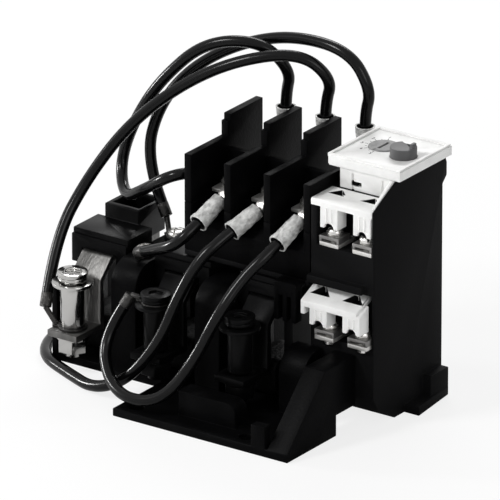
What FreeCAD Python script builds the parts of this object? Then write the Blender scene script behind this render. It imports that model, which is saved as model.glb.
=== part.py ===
import FreeCAD, Part
import Sketcher
import math
import os

# Three-pole thermal overload relay fed by three built-on current transformers.
# It lies on its mounting face: +Z is away from the panel, -Y is the side where the
# front leads leave, +X is the side with the auxiliary contacts.  Millimetres.

V = FreeCAD.Vector
doc = FreeCAD.newDocument("OverloadRelay")
sheet = doc.addObject("Spreadsheet::Sheet", "Sizes")

SIZES = [
    # base frame
    ("base_left", 70, "origin to the left wall's outer face"),
    ("base_front", 14, "origin to the front faces of the terminal bays"),
    ("base_back", 42, "origin to the rear edge of the base"),
    ("base_floor", 3.1, "floor and foot plate thickness"),
    ("base_wall", 2.5, "left wall thickness"),
    ("left_wall_top", 29, "height of the left wall"),
    ("foot_front", 45, "origin to the front edge of the mounting foot"),
    ("foot_left", 20.7, "origin to the left edge of the mounting foot"),
    ("cheek_right", 56, "origin to the outer face of the right cheek"),
    ("cheek_thick", 9, "right cheek thickness"),
    ("cheek_top", 27.4, "height of the right cheek"),
    ("cheek_run", 24, "length of the cheek's sloped front"),
    ("cheek_lift", 8, "height of the undercut below the cheek's rear half"),
    ("boss_left", 2, "origin to the left end of the boss on the foot"),
    ("boss_right", 27, "origin to the right end of the boss"),
    ("boss_front", 36, "origin to the front face of the boss"),
    ("boss_deep", 8, "depth of the boss"),
    ("boss_top", 12.4, "height of the boss"),
    ("rib_left", 40, "origin to the left face of the rib at the cheek"),
    ("rib_wide", 6, "width of the rib at the cheek"),
    ("rib_deep", 4, "depth of the rib at the cheek"),
    ("rib_top", 11.5, "height of the rib at the cheek"),
    ("post_left", 33, "origin to the left face of the lead post"),
    ("post_wide", 11.5, "width of the lead post"),
    ("post_front", 31, "origin to the front face of the lead post"),
    ("post_drop", 3, "top of the partitions down to the top of the post"),
    ("hole_radius", 2.75, "mounting hole radius"),
    ("front_hole_inset", 6, "foot's front edge to the front hole line"),
    ("front_hole_left", 14, "origin to the front left hole"),
    ("front_hole_span", 48, "spacing of the front holes"),
    ("rear_hole_inset", 5, "base's rear edge to the rear hole line"),
    ("rear_hole_left", 50, "origin to the rear left hole"),
    ("rear_hole_span", 13, "spacing of the rear holes"),
    # transformers
    ("ct_first", 56.5, "origin to the first primary bar's centre line"),
    ("ct_pitch", 37, "spacing of the three transformers"),
    ("partition", 11, "thickness of the rounded partitions between the bays"),
    ("partition_top", 44, "height of the partitions"),
    ("partition_round", 9, "radius of the partitions' front top edge"),
    ("partition_back", 29, "origin to the rear face of the partitions"),
    ("low_partition_top", 27, "height of the partition under the lower shroud"),
    ("core_width", 21.8, "width of a laminated core"),
    ("core_limb", 3.8, "width of the core's upright limbs"),
    ("core_yoke", 4, "height of the core's upper yoke"),
    ("core_low_yoke", 6, "height of the core's lower yoke"),
    ("core_bottom", 8, "height of the core's underside"),
    ("core_front", 2, "origin to the core's front face"),
    ("core_stack", 14, "thickness of the lamination stack"),
    ("winding", 4, "depth of the secondary winding"),
    ("coil_end", 1, "gap between the coil and the core limbs"),
    ("bar_width", 13, "primary bar width"),
    ("bar_thick", 2.5, "primary bar thickness"),
    ("bar_top", 41.5, "height of the primary bar's upper face"),
    ("bar_back", 26, "origin to the primary bar's rear end"),
    ("bar_bend", 4.5, "origin to the bar's first forward bend"),
    ("bar_slope", 7, "length and drop of the bar's sloped stretch"),
    ("bar_foot", 15, "height of the bar's lower tab, underside"),
    ("tab_reach", 15, "length of the bar's lower tab beyond its upright leg"),
    ("bolt_radius", 3, "primary bolt shank radius"),
    ("bolt_ahead", 8, "bolt axis ahead of the bar's upright leg"),
    ("sleeve_radius", 4.5, "clamp sleeve radius on the front bolts"),
    ("sleeve_top", 34.5, "height of the clamp sleeve's top"),
    ("washer_radius", 7.6, "large washer radius"),
    ("washer_thick", 1.3, "washer thickness"),
    ("nut_flats", 10, "primary nut width across flats"),
    ("nut_high", 5, "primary nut height"),
    ("head_high", 1.8, "low bolt head height"),
    ("cover_top", 48.5, "height of the core covers"),
    ("cover_wall", 1.2, "core cover wall"),
    ("cube_top", 54, "height of the rear terminal barrier on the first cover"),
    # pole block
    ("pole_left", 19.4, "origin to the pole block's left face"),
    ("pole_pitch", 17.4, "pole spacing"),
    ("barrier", 3, "pole barrier thickness"),
    ("pole_front", 1.8, "origin to the pole block's front face"),
    ("pole_back", 42, "origin to the pole block's rear face"),
    ("pole_floor", 51, "height of the pole block's underside"),
    ("deck", 71.5, "height of the terminal decks"),
    ("barrier_low", 88, "height of the barriers' front part"),
    ("barrier_high", 96, "height of the barriers' rear part"),
    ("barrier_seat", 2, "depth of the grooves that hold the barriers"),
    ("barrier_lip", 1.6, "width of the small ledge before the barriers' rear part"),
    ("barrier_fit", 0.05, "gap round a barrier in its groove"),
    ("barrier_step", 21.4, "origin to the step between the two barrier heights"),
    ("barrier_back", 43.5, "origin to the barriers' rear edge"),
    ("cross_wall", 20, "origin to the wall between front and rear terminals"),
    ("cross_thick", 2.5, "thickness of that wall"),
    ("chute_rear", 7, "origin to the upper end of the sloped lead chute"),
    ("chute_high", 67, "height of the chute's upper end"),
    ("chute_low", 61.6, "height of the chute's lower end"),
    ("chamber_front", 9.5, "origin to the heater chambers' front wall"),
    ("chamber_back", 38, "origin to the heater chambers' rear wall"),
    ("roof_thick", 2.5, "thickness of the deck over the heater chambers"),
    ("front_screw", 13, "origin to the front pole screws"),
    ("rear_screw", 33, "origin to the rear pole screws"),
    ("plate_thick", 1.5, "pole terminal plate thickness"),
    ("plate_width", 10, "pole terminal plate width"),
    ("plate_long", 12, "pole terminal plate length"),
    ("screw_radius", 2, "terminal screw shank radius"),
    ("screw_head", 3.7, "terminal screw head radius"),
    ("screw_high", 2.6, "terminal screw head height"),
    # leads and their lugs
    ("lead_radius", 2.15, "jumper lead radius"),
    ("sleeve_out", 3.2, "insulating sleeve outer radius"),
    ("sleeve_bore", 2.2, "insulating sleeve bore radius"),
    ("sleeve_long", 12.5, "insulating sleeve length"),
    ("lug_thick", 0.8, "lug tongue thickness"),
    ("lug_radius", 3.6, "lug tongue radius"),
    ("lug_barrel", 2.2, "lug barrel radius"),
    ("lug_long", 8, "lug barrel length"),
    # relay housing
    ("tower_left", 36.1, "origin to the tower's left face"),
    ("tower_right", 63.6, "origin to the tower's right face"),
    ("tower_wall", 2.6, "tower wall thickness"),
    ("tower_top", 91.2, "height of the tower under the setting cover"),
    ("tower_step", 7.5, "drop from the tower's top to its front top edge"),
    ("tower_slope", 14.5, "length of the slope from the front edge to the top"),
    ("tower_chin", 11.8, "height of the front wall's lower end"),
    ("tower_heel", 12, "origin to the front of the tower's underside"),
    ("hook", 2.6, "projection of the rear top edge"),
    ("hook_drop", 10.2, "tower top down to the start of the rear hook"),
    ("shelf", 48.9, "height of the shelf under the pole block"),
    ("side_foot", 6.4, "projection of the side foot"),
    ("side_foot_taper", 2.7, "how much narrower the side foot is at its rear end"),
    ("side_foot_high", 11, "height of the block on the side foot's rear half"),
    ("side_foot_front", 18, "origin to the side foot's front end"),
    ("side_foot_long", 23, "length of the side foot"),
    ("side_foot_thick", 3.4, "side foot plate thickness"),
    ("cavity_front", 18, "origin to the mechanism cavity's front wall"),
    ("clamp_pocket", 12, "depth of the auxiliary clamp pockets"),
    ("clamp_drop", 7, "shroud leg's lower end to the pocket's floor"),
    ("pocket_wall", 1, "right wall beside the clamp pockets"),
    ("lower_pocket_roof", 51.2, "height of the lower clamp pocket's roof"),
    # auxiliary terminals
    ("aux_first", 43.9, "origin to the left auxiliary terminal"),
    ("aux_pitch", 14.3, "auxiliary terminal spacing"),
    ("leg_width", 7.5, "shroud leg width"),
    ("leg_wall", 1.4, "shroud leg wall"),
    ("leg_depth", 5.85, "shroud leg depth"),
    ("upper_leg", 10.5, "upper shroud leg length"),
    ("lower_leg", 10.5, "top of the lower shroud to its clamps"),
    ("guard_gap", 2.5, "comb to the tower's left face"),
    ("guard_wide", 9.5, "comb width"),
    ("guard_low", 36, "underside of the comb's teeth"),
    ("guard_slot", 1.9, "slot width in the comb"),
    ("guard_slot_step", 3.6, "pitch of the comb's slots"),
    ("guard_slot_side", 7.6, "first slot's left side from the comb's right"),
    ("guard_web", 1.4, "web left behind the slots"),
    ("guard_bridge", 3.2, "bridge above the slots, below the shelf"),
    ("lower_fall", 2.4, "drop from there to the front edge of its sloped top"),
    ("lower_rise", 4.4, "rise of its sloped top towards the tower"),
    ("lower_deep", 9.6, "depth of its sloped top"),
    ("shroud_plate", 2.6, "shroud top plate thickness"),
    ("lower_front", 7.7, "origin to the lower shroud's front edge"),
        ("lower_top", 48.4, "height of the lower shroud's top"),
    ("lower_right", 60, "origin to the lower shroud's right edge"),
    ("saddle", 7.4, "clamp saddle width"),
    # setting cover, dial and reset
    ("lid_lift", 0.3, "tower's top to the underside of the cover's top plate"),
    ("lid_thick", 3.6, "thickness of the cover's top plate"),
    ("frame_drop", 8.4, "tower's top to the top of the dial's bearing plate"),
    ("frame_thick", 2.8, "thickness of the dial's bearing plate"),
    ("shaft_radius", 2, "radius of the dial's shaft and of the reset stem"),
    ("cam_radius", 4.4, "radius of the setting cam"),
    ("cam_thick", 3.6, "thickness of the setting cam"),
    ("cam_throw", 1.2, "offset of the setting cam"),
    ("hub_radius", 4, "radius of the hub that carries the reset stem"),
    ("cover_front", 11.8, "origin to the setting cover's front wall"),
    ("cover_back", 45, "origin to the setting cover's rear edge"),
    ("cover_right", 65.4, "origin to the setting cover's right edge"),
    ("cover_left", 33.4, "origin to the setting cover's left edge"),
    ("cover_corner", 1.2, "chamfer at the cover's left front corner"),
    ("cover_step", 2.8, "tower's left face to the cover's front wall"),
    ("dial_x", 45.6, "origin to the dial's axis"),
    ("dial_y", 30.4, "origin to the dial's axis"),
    ("dial_radius", 5.5, "setting dial radius"),
    ("dial_proud", 0.4, "setting dial face above the cover"),
    ("reset_x", 56.8, "origin to the reset knob's axis"),
    ("reset_y", 26.6, "origin to the reset knob's axis"),
    ("reset_radius", 4.9, "reset knob radius"),
    ("reset_proud", 3.8, "reset knob height above the cover"),
    ("reset_travel", 2.5, "reset knob stroke"),
    ("spring_wire", 0.4, "reset spring wire radius"),
    ("spring_coil", 3.1, "reset spring mean radius"),
    ("turn_fit", 0.12, "gap round the dial and the knob"),
    ("running", 0.05, "running fit on pins and shafts"),
    ("gap", 0.3, "gap between bodies that move past each other"),
    # mechanism
    ("bimetal_width", 5, "bimetal strip width"),
    ("bimetal_thick", 0.8, "bimetal strip thickness"),
    ("bimetal_y", 24, "origin to the bimetal strips' plane"),
    ("heater_radius", 2.6, "heater winding outer radius"),
    ("push_z", 56, "height of the push bar's underside"),
    ("push_high", 3, "push bar height"),
    ("push_deep", 4, "push bar depth"),
    ("push_travel", 1.6, "push bar stroke"),
    ("lever_x", 46, "origin to the trip lever's pivot"),
    ("lever_z", 68, "height of the trip lever's pivot"),
    ("pin_radius", 1.2, "trip lever pivot pin radius"),
    ("carrier_x", 54, "origin to the contact carrier's centre"),
    ("carrier_y", 28.6, "origin to the contact carrier's centre"),
    ("carrier_z", 34, "height of the contact carrier's underside"),
    ("carrier_high", 22, "contact carrier height"),
    ("carrier_travel", 1.2, "contact carrier stroke"),
    ("carrier_half", 3, "half width of the contact carrier"),
    ("carrier_deep", 4, "half depth of the contact carrier"),
    ("hook_grip", 1.3, "lever pin to the underside of the carrier's hook"),
    ("hook_reach", 3.4, "lever pin to the top of the carrier's hook"),
    ("hook_half", 2, "front half depth of the hook"),
    ("bridge_rise", 4, "first bridge above the carrier's foot"),
    ("bridge_step", 12, "pitch of the two bridges"),
    ("bridge_thick", 1, "contact bridge thickness"),
    ("bridge_half", 1.5, "half width of a bridge"),
    ("bridge_reach", 8, "half length of a bridge"),
    ("rivet_out", 6.6, "contact rivet from the middle"),
    ("rivet_radius", 1.2, "contact rivet radius"),
    ("rivet_high", 1.4, "contact rivet height"),
    ("rivet_air", 0.2, "gap between a rivet and its bridge"),
    ("contact_bar", 1, "fixed contact bar thickness"),
    ("guide_rise", 8, "guide above the carrier's foot"),
    ("guide_high", 3, "guide height"),
    ("guide_fit", 0.1, "clearance of the carrier in its guide"),
]


class Dim:
    """A length that carries its number and the sheet expression that gives it."""

    def __init__(self, value, text):
        self.value = value
        self.text = text

    def __add__(self, other):
        return Dim(self.value + number(other), "(%s + %s)" % (self.text, text(other)))

    def __radd__(self, other):
        return Dim(number(other) + self.value, "(%s + %s)" % (text(other), self.text))

    def __sub__(self, other):
        return Dim(self.value - number(other), "(%s - %s)" % (self.text, text(other)))

    def __rsub__(self, other):
        return Dim(number(other) - self.value, "(%s - %s)" % (text(other), self.text))

    def __mul__(self, factor):
        return Dim(self.value * factor, "(%s * %s)" % (self.text, factor))

    __rmul__ = __mul__

    def __truediv__(self, factor):
        return Dim(self.value / factor, "(%s / %s)" % (self.text, factor))

    def __neg__(self):
        return Dim(-self.value, "(-1 * %s)" % self.text)


def number(value):
    return value.value if isinstance(value, Dim) else float(value)


def text(value):
    return value.text if isinstance(value, Dim) else repr(value)


class Sizes:
    """The sheet's cells by name."""


s = Sizes()
for row, (alias, value, note) in enumerate(SIZES, 1):
    sheet.set("A%d" % row, note)
    sheet.set("B%d" % row, str(value))
    sheet.setAlias("B%d" % row, alias)
    setattr(s, alias, Dim(float(value), "Sizes." + alias))
doc.recompute()


# ---------------------------------------------------------------- making pieces

def bind(obj, prop, value):
    setattr(obj, prop, number(value))
    if isinstance(value, Dim):
        obj.setExpression(prop, value.text)


def place(obj, at, turn=None):
    base = V(*[number(value) for value in at])
    obj.Placement = FreeCAD.Placement(base, turn or FreeCAD.Rotation())
    for axis, value in zip("xyz", at):
        if isinstance(value, Dim):
            obj.setExpression("Placement.Base." + axis, value.text)


AXIS_TURN = {
    "x": FreeCAD.Rotation(V(0, 1, 0), 90),
    "y": FreeCAD.Rotation(V(1, 0, 0), -90),
    "z": FreeCAD.Rotation(),
}


def set_block(obj, across, along, up):
    """Sizes and places a box by its spans in X, Y and Z."""
    for prop, span in zip(("Length", "Width", "Height"), (across, along, up)):
        bind(obj, prop, span[1] - span[0])
    place(obj, (across[0], along[0], up[0]))
    return obj


def set_round(obj, axis, centre, span, radius):
    """Sizes and places a cylinder along one axis; centre gives the other two coordinates."""
    bind(obj, "Radius", radius)
    bind(obj, "Height", span[1] - span[0])
    at = {"x": (span[0], centre[0], centre[1]),
          "y": (centre[0], span[0], centre[1]),
          "z": (centre[0], centre[1], span[0])}[axis]
    place(obj, at, AXIS_TURN[axis])
    return obj


def block(across, along, up):
    return set_block(doc.addObject("Part::Box", "Block"), across, along, up)


def rod(axis, centre, span, radius):
    return set_round(doc.addObject("Part::Cylinder", "Rod"), axis, centre, span, radius)


def hexagon(centre, up, flats):
    """A hexagonal prism standing on Z."""
    prism = doc.addObject("Part::Prism", "Hexagon")
    prism.Polygon = 6
    bind(prism, "Circumradius", flats / 1.7320508)
    bind(prism, "Height", up[1] - up[0])
    place(prism, (centre[0], centre[1], up[0]))
    return prism


def join(*shapes):
    fused = doc.addObject("Part::MultiFuse", "Join")
    fused.Shapes = list(shapes)
    return fused


def cut(base, *tools):
    result = doc.addObject("Part::Cut", "Cut")
    result.Base = base
    result.Tool = join(*tools) if len(tools) > 1 else tools[0]
    return result


def group(*shapes):
    loose = doc.addObject("Part::Compound", "Group")
    loose.Links = list(shapes)
    return loose


NODES = []


def node(label, obj):
    """Names a finished sub-part; its label is its file name."""
    obj.Label = label
    NODES.append(obj)
    return obj


def fixed_shape(label, shape):
    feature = doc.addObject("Part::Feature", "Formed")
    feature.Shape = shape
    feature.Placement = FreeCAD.Placement()
    return node(label, feature)


def new_body(label):
    body = doc.addObject("PartDesign::Body", label)
    body.AllowCompound = True
    return body


PLANE_SIGN = {"XY_Plane": 1, "XZ_Plane": -1, "YZ_Plane": 1}


def sketch(body, plane, outline, level):
    """A closed outline on one of the body's own planes, every corner bound to the sheet."""
    drawing = body.newObject("Sketcher::SketchObject", "Outline")
    origin = [item for item in body.Origin.OriginFeatures if item.Role == plane]
    drawing.AttachmentSupport = [(origin[0], "")]
    drawing.MapMode = "FlatFace"
    drawing.AttachmentOffset = FreeCAD.Placement(V(0, 0, number(level)), FreeCAD.Rotation())
    if isinstance(level, Dim):
        drawing.setExpression("AttachmentOffset.Base.z", level.text)
    corners = [V(number(a), number(b), 0) for a, b in outline]
    count = len(corners)
    for index in range(count):
        line = Part.LineSegment(corners[index], corners[(index + 1) % count])
        drawing.addGeometry(line, False)
    for index in range(count):
        drawing.addConstraint(Sketcher.Constraint("Coincident", index, 2, (index + 1) % count, 1))
    for index, pair in enumerate(outline):
        for kind, value in zip(("DistanceX", "DistanceY"), pair):
            made = drawing.addConstraint(
                Sketcher.Constraint(kind, -1, 1, index, 1, number(value)))
            if isinstance(value, Dim):
                drawing.setExpression("Constraints[%d]" % made, value.text)
    return drawing


def pad(body, plane, outline, span):
    """Adds a prism of the outline between two levels across its plane."""
    sign = PLANE_SIGN[plane]
    drawing = sketch(body, plane, outline, span[0] if sign > 0 else -span[1])
    feature = body.newObject("PartDesign::Pad", "Pad")
    feature.Profile = drawing
    bind(feature, "Length", span[1] - span[0])
    return feature


def pocket(body, plane, outline, span):
    """Cuts a prism of the outline between two levels across its plane."""
    sign = PLANE_SIGN[plane]
    drawing = sketch(body, plane, outline, span[1] if sign > 0 else -span[0])
    feature = body.newObject("PartDesign::Pocket", "Pocket")
    feature.Profile = drawing
    bind(feature, "Length", span[1] - span[0])
    return feature


def add_block(body, across, along, up):
    return set_block(body.newObject("PartDesign::AdditiveBox", "Block"), across, along, up)


def cut_block(body, across, along, up):
    return set_block(body.newObject("PartDesign::SubtractiveBox", "Opening"), across, along, up)


def add_rod(body, axis, centre, span, radius):
    feature = body.newObject("PartDesign::AdditiveCylinder", "Boss")
    return set_round(feature, axis, centre, span, radius)


def cut_rod(body, axis, centre, span, radius):
    feature = body.newObject("PartDesign::SubtractiveCylinder", "Bore")
    return set_round(feature, axis, centre, span, radius)


def edges_where(shape, test, across_only):
    """Names of the edges whose two ends both pass the test, or only those running along X."""
    found = []
    for index, edge in enumerate(shape.Edges, 1):
        ends = [vertex.Point for vertex in edge.Vertexes]
        if len(ends) != 2 or not all(test(end) for end in ends):
            continue
        span = ends[1] - ends[0]
        if not across_only or abs(span.y) + abs(span.z) < 0.01:
            found.append("Edge%d" % index)
    return found


def near(a, b):
    return abs(a - number(b)) < 0.01


def soften(body, kind, size, test, across_only=False):
    """Fillets or chamfers the edges of the body's last feature that pass the test."""
    doc.recompute()
    base = body.Tip
    names = edges_where(base.Shape, test, across_only)
    if not names:
        raise RuntimeError("no edge to soften on " + body.Label)
    feature = body.newObject("PartDesign::" + kind, kind)
    feature.Base = (base, names)
    bind(feature, "Radius" if kind == "Fillet" else "Size", size)
    return feature


# ---------------------------------------------------------------- shared places

ct_centres = [-s.ct_first + s.ct_pitch * index for index in range(3)]
partition_spans = [(x + s.ct_pitch / 2 - s.partition / 2, x + s.ct_pitch / 2 + s.partition / 2)
                   for x in ct_centres]
bay_spans = [(-s.pole_left + s.barrier + s.pole_pitch * index,
              -s.pole_left + s.pole_pitch * (index + 1)) for index in range(3)]
pole_centres = [(low + high) / 2 for low, high in bay_spans]
aux_centres = [s.aux_first, s.aux_first + s.aux_pitch]
shoulder = s.tower_top - s.tower_step
aux_levels = [(shoulder - s.upper_leg, -s.pole_front + s.leg_depth * 0.7),
              (s.lower_top - s.lower_leg, -s.pole_front + s.leg_depth * 0.2)]
leg_face = -(s.bar_bend + s.bar_slope)
bolt_y = leg_face - s.bolt_ahead
partition_middle = (partition_spans[0][0] + partition_spans[0][1]).value / 2

# Where four of the leads are screwed down: the post, the first partition twice, the floor.
END_SCREWS = [(-28.5, 36, (s.partition_top - s.post_drop).value),
              (partition_middle, 19, s.partition_top.value),
              (partition_middle, 0, s.partition_top.value), (-61, 36, s.base_floor.value)]
rear_bolt_y = s.bar_back - 4.5
pole_right = -s.pole_left + s.pole_pitch * 3 + s.barrier
chamber_roof = s.deck - s.roof_thick
lid_low = s.tower_top + s.lid_lift
lid_top = lid_low + s.lid_thick
ground = s.base_floor - s.base_floor


# ---------------------------------------------------------------- base frame

def make_base():
    base = new_body("base_frame")
    floor = (ground, s.base_floor)
    edge = s.tower_left - s.gap
    behind = -s.pole_front - s.gap
    pad(base, "XY_Plane", [
        (-s.base_left, -s.base_front), (-s.foot_left, -s.base_front),
        (-s.foot_left, -s.foot_front), (s.cheek_right, -s.foot_front),
        (s.cheek_right, -s.base_front), (partition_spans[2][1], -s.base_front),
        (partition_spans[2][1], behind), (edge, behind),
        (edge, s.base_back), (-s.base_left, s.base_back)], floor)
    # left wall beside the first terminal bay
    add_block(base, (-s.base_left, -s.base_left + s.base_wall),
              (-s.base_front, s.partition_back), (s.base_floor, s.left_wall_top))
    # rounded partitions between the bays; the last one is low and short
    for span in partition_spans[:2]:
        add_block(base, span, (-s.base_front, s.partition_back),
                  (s.base_floor, s.partition_top))
    add_block(base, partition_spans[2], (-s.base_front, behind),
              (s.base_floor, s.low_partition_top))
    soften(base, "Fillet", s.partition_round,
           lambda p: near(p.y, -s.base_front)
           and (near(p.z, s.partition_top) or near(p.z, s.low_partition_top)))
    # seats under the core limbs
    for x in ct_centres:
        for side in (-1, 1):
            inner = x + side * (s.core_width / 2 - s.core_limb)
            outer = x + side * s.core_width / 2
            span = (inner, outer) if side > 0 else (outer, inner)
            add_block(base, span, (-s.core_front, s.core_stack - s.core_front),
                      (s.base_floor, s.core_bottom))
    # right cheek with its sloped front, undercut behind
    pad(base, "YZ_Plane", [
        (-s.foot_front, ground), (-s.foot_front, s.base_floor),
        (-s.foot_front + s.cheek_run, s.cheek_top), (behind, s.cheek_top),
        (behind, s.cheek_lift), (-s.base_front, s.cheek_lift),
        (-s.base_front, ground)],
        (s.cheek_right - s.cheek_thick, s.cheek_right))
    # stepped boss and rib on the mounting foot
    add_block(base, (s.boss_left, s.boss_right), (-s.boss_front, -s.boss_front + s.boss_deep),
              (s.base_floor, s.boss_top))
    soften(base, "Fillet", s.boss_top * 0.35,
           lambda p: near(p.x, s.boss_right) and near(p.z, s.boss_top))
    add_block(base, (s.rib_left, s.rib_left + s.rib_wide),
              (-s.foot_front, -s.foot_front + s.rib_deep), (s.base_floor, s.rib_top))
    # post behind the first partition, carrying a lead terminal
    add_block(base, (-s.post_left, -s.post_left + s.post_wide),
              (s.post_front, s.base_back - 1), (s.base_floor, s.partition_top - s.post_drop))
    # holes for the screws that hold the leads' lugs
    for x, y, z in END_SCREWS:
        cut_rod(base, "z", (x, y), (z - 4, z + 1), s.screw_radius.value + 0.2)
    # mounting holes
    for step in range(2):
        cut_rod(base, "z", (-s.front_hole_left + s.front_hole_span * step,
                            -s.foot_front + s.front_hole_inset),
                (-1, s.base_floor + 1), s.hole_radius)
        cut_rod(base, "z", (-s.rear_hole_left + s.rear_hole_span * step,
                            s.base_back - s.rear_hole_inset),
                (-1, s.base_floor + 1), s.hole_radius)
    return node("base_frame", base)


make_base()


# ---------------------------------------------------------------- transformers

def make_core(index, x):
    core = new_body("ct_core_%d" % (index + 1))
    left = x - s.core_width / 2
    right = x + s.core_width / 2
    top = s.bar_top + 0.8 + s.core_yoke
    depth = (-s.core_front, s.core_stack - s.core_front)
    pad(core, "XZ_Plane", [(left, s.core_bottom), (right, s.core_bottom), (right, top),
                           (left, top)], depth)
    pocket(core, "XZ_Plane", [
        (left + s.core_limb, s.core_bottom + s.core_low_yoke),
        (right - s.core_limb, s.core_bottom + s.core_low_yoke),
        (right - s.core_limb, top - s.core_yoke), (left + s.core_limb, top - s.core_yoke)],
        depth)
    return node("ct_core_%d" % (index + 1), core)


def make_coil(index, x):
    """Taped secondary winding round the core's lower yoke."""
    coil = new_body("ct_coil_%d" % (index + 1))
    reach = s.core_width / 2 - s.core_limb - s.coil_end
    low = s.core_bottom - s.winding
    high = s.core_bottom + s.core_low_yoke + s.winding
    front = -s.core_front - s.winding
    back = s.core_stack - s.core_front + s.winding
    add_block(coil, (x - reach, x + reach), (front, back), (low, high))
    soften(coil, "Fillet", s.winding * 0.9,
           lambda p: (near(p.y, front) or near(p.y, back)) and (near(p.z, low) or near(p.z, high)),
           across_only=True)
    clear = 0.05
    cut_block(coil, (x - reach - 1, x + reach + 1),
              (-s.core_front - clear, s.core_stack - s.core_front + clear),
              (s.core_bottom - clear, s.core_bottom + s.core_low_yoke + clear))
    return node("ct_coil_%d" % (index + 1), coil)


def make_bar(index, x):
    """Primary bar: through the core, down the front and out into the lower tab."""
    bar = new_body("primary_bar_%d" % (index + 1))
    drop = s.bar_slope
    thick = s.bar_thick
    kink = thick * 0.414
    pad(bar, "YZ_Plane", [
        (s.bar_back, s.bar_top - thick), (s.bar_back, s.bar_top),
        (-s.bar_bend, s.bar_top), (leg_face, s.bar_top - drop),
        (leg_face, s.bar_foot + thick), (leg_face - s.tab_reach, s.bar_foot + thick),
        (leg_face - s.tab_reach, s.bar_foot), (leg_face + thick, s.bar_foot),
        (leg_face + thick, s.bar_top - drop - kink), (-s.bar_bend + kink, s.bar_top - thick)],
        (x - s.bar_width / 2, x + s.bar_width / 2))
    soften(bar, "Fillet", thick * 0.8,
           lambda p: near(p.y, leg_face) and near(p.z, s.bar_top - drop)
           or near(p.y, -s.bar_bend) and near(p.z, s.bar_top),
           across_only=True)
    cut_rod(bar, "z", (x, bolt_y), (s.bar_foot - 1, s.bar_foot + thick + 1), s.bolt_radius)
    cut_rod(bar, "z", (x, rear_bolt_y), (s.bar_top - thick - 1, s.bar_top + 1), s.bolt_radius)
    return node("primary_bar_%d" % (index + 1), bar)


def make_cover(index, x):
    """Black cover clipped over the core's upper yoke, stepped towards the front."""
    cover = new_body("ct_cover_%d" % (index + 1))
    clear = 0.1
    half = s.core_width / 2 + clear
    top = s.bar_top + 0.8 + s.core_yoke
    front = -s.core_front - clear
    back = s.core_stack - s.core_front + clear
    skirt = s.bar_top - 6
    add_block(cover, (x - half - s.cover_wall, x + half + s.cover_wall),
              (front - s.cover_wall, back + s.cover_wall), (skirt, s.cover_top))
    cut_block(cover, (x - half, x + half), (front, back), (skirt - 1, top))
    cut_block(cover, (x - s.bar_width / 2 - 1, x + s.bar_width / 2 + 1),
              (front - s.cover_wall - 1, back + s.cover_wall + 1), (skirt - 1, s.bar_top + clear))
    # step in the top and a thumb ridge
    cut_block(cover, (x - half - s.cover_wall, x + half + s.cover_wall),
              (front - s.cover_wall, front - clear), (s.cover_top - 2, s.cover_top))
    if index == 0:
        # barrier round the rear terminal of the first transformer
        left = x - 8.3
        right = x + 6.9
        deep = (back, s.bar_back + 2.8)
        add_block(cover, (left, right), deep, (s.bar_top + clear, s.cube_top))
        cut_block(cover, (left + 1.6, right - 1.6), (back + 2.6, deep[1] - 1.6),
                  (s.bar_top, s.cube_top + 1))
    return node("ct_cover_%d" % (index + 1), cover)


for index, x in enumerate(ct_centres):
    make_core(index, x)
    make_coil(index, x)
    make_bar(index, x)
    make_cover(index, x)


def ring(x, y, up, radius, bore):
    return cut(rod("z", (x, y), up, radius), rod("z", (x, y), (up[0] - 1, up[1] + 1), bore))


def make_primary_hardware():
    fit = s.bolt_radius + s.running
    tab_top = s.bar_foot + s.bar_thick
    low_washer = (s.bar_foot - s.washer_thick, s.bar_foot)
    big_washer = (s.sleeve_top, s.sleeve_top + s.washer_thick)
    lug_top = big_washer[1] + s.lug_thick
    spring_washer = (lug_top, lug_top + s.washer_thick)
    head = (spring_washer[1], spring_washer[1] + s.head_high)
    bolts = []
    for x in ct_centres:
        shank = rod("z", (x, bolt_y), (low_washer[0] - s.nut_high - 2, head[0]), s.bolt_radius)
        cap = rod("z", (x, bolt_y), head, s.nut_flats * 0.56)
        socket = hexagon((x, bolt_y), (head[0] + 0.8, head[1] + 1), s.nut_flats * 0.5)
        bolts.append(cut(join(shank, cap), socket))
    node("primary_bolts", group(*bolts))
    node("clamp_sleeves", group(*[
        ring(x, bolt_y, (tab_top + s.lug_thick, s.sleeve_top), s.sleeve_radius, fit)
        for x in ct_centres]))
    washers = []
    for x in ct_centres:
        washers.append(ring(x, bolt_y, big_washer, s.washer_radius, fit))
        washers.append(ring(x, bolt_y, spring_washer, s.washer_radius * 0.72, fit))
        washers.append(ring(x, bolt_y, low_washer, s.washer_radius * 0.8, fit))
    node("primary_washers", group(*washers))
    nuts = []
    for x in ct_centres:
        up = (low_washer[0] - s.nut_high, low_washer[0])
        nuts.append(cut(hexagon((x, bolt_y), up, s.nut_flats),
                        rod("z", (x, bolt_y), (up[0] - 1, up[1] + 1), fit)))
    node("primary_nuts", group(*nuts))
    rear = []
    for x in ct_centres:
        low = s.bar_top - s.bar_thick - 4
        shank = rod("z", (x, rear_bolt_y), (low, s.bar_top), s.bolt_radius - s.running)
        cap = hexagon((x, rear_bolt_y), (s.bar_top, s.bar_top + s.head_high), s.nut_flats * 0.9)
        rear.append(join(shank, cap))
    node("rear_bolts", group(*rear))


make_primary_hardware()


# ---------------------------------------------------------------- pole block

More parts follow.
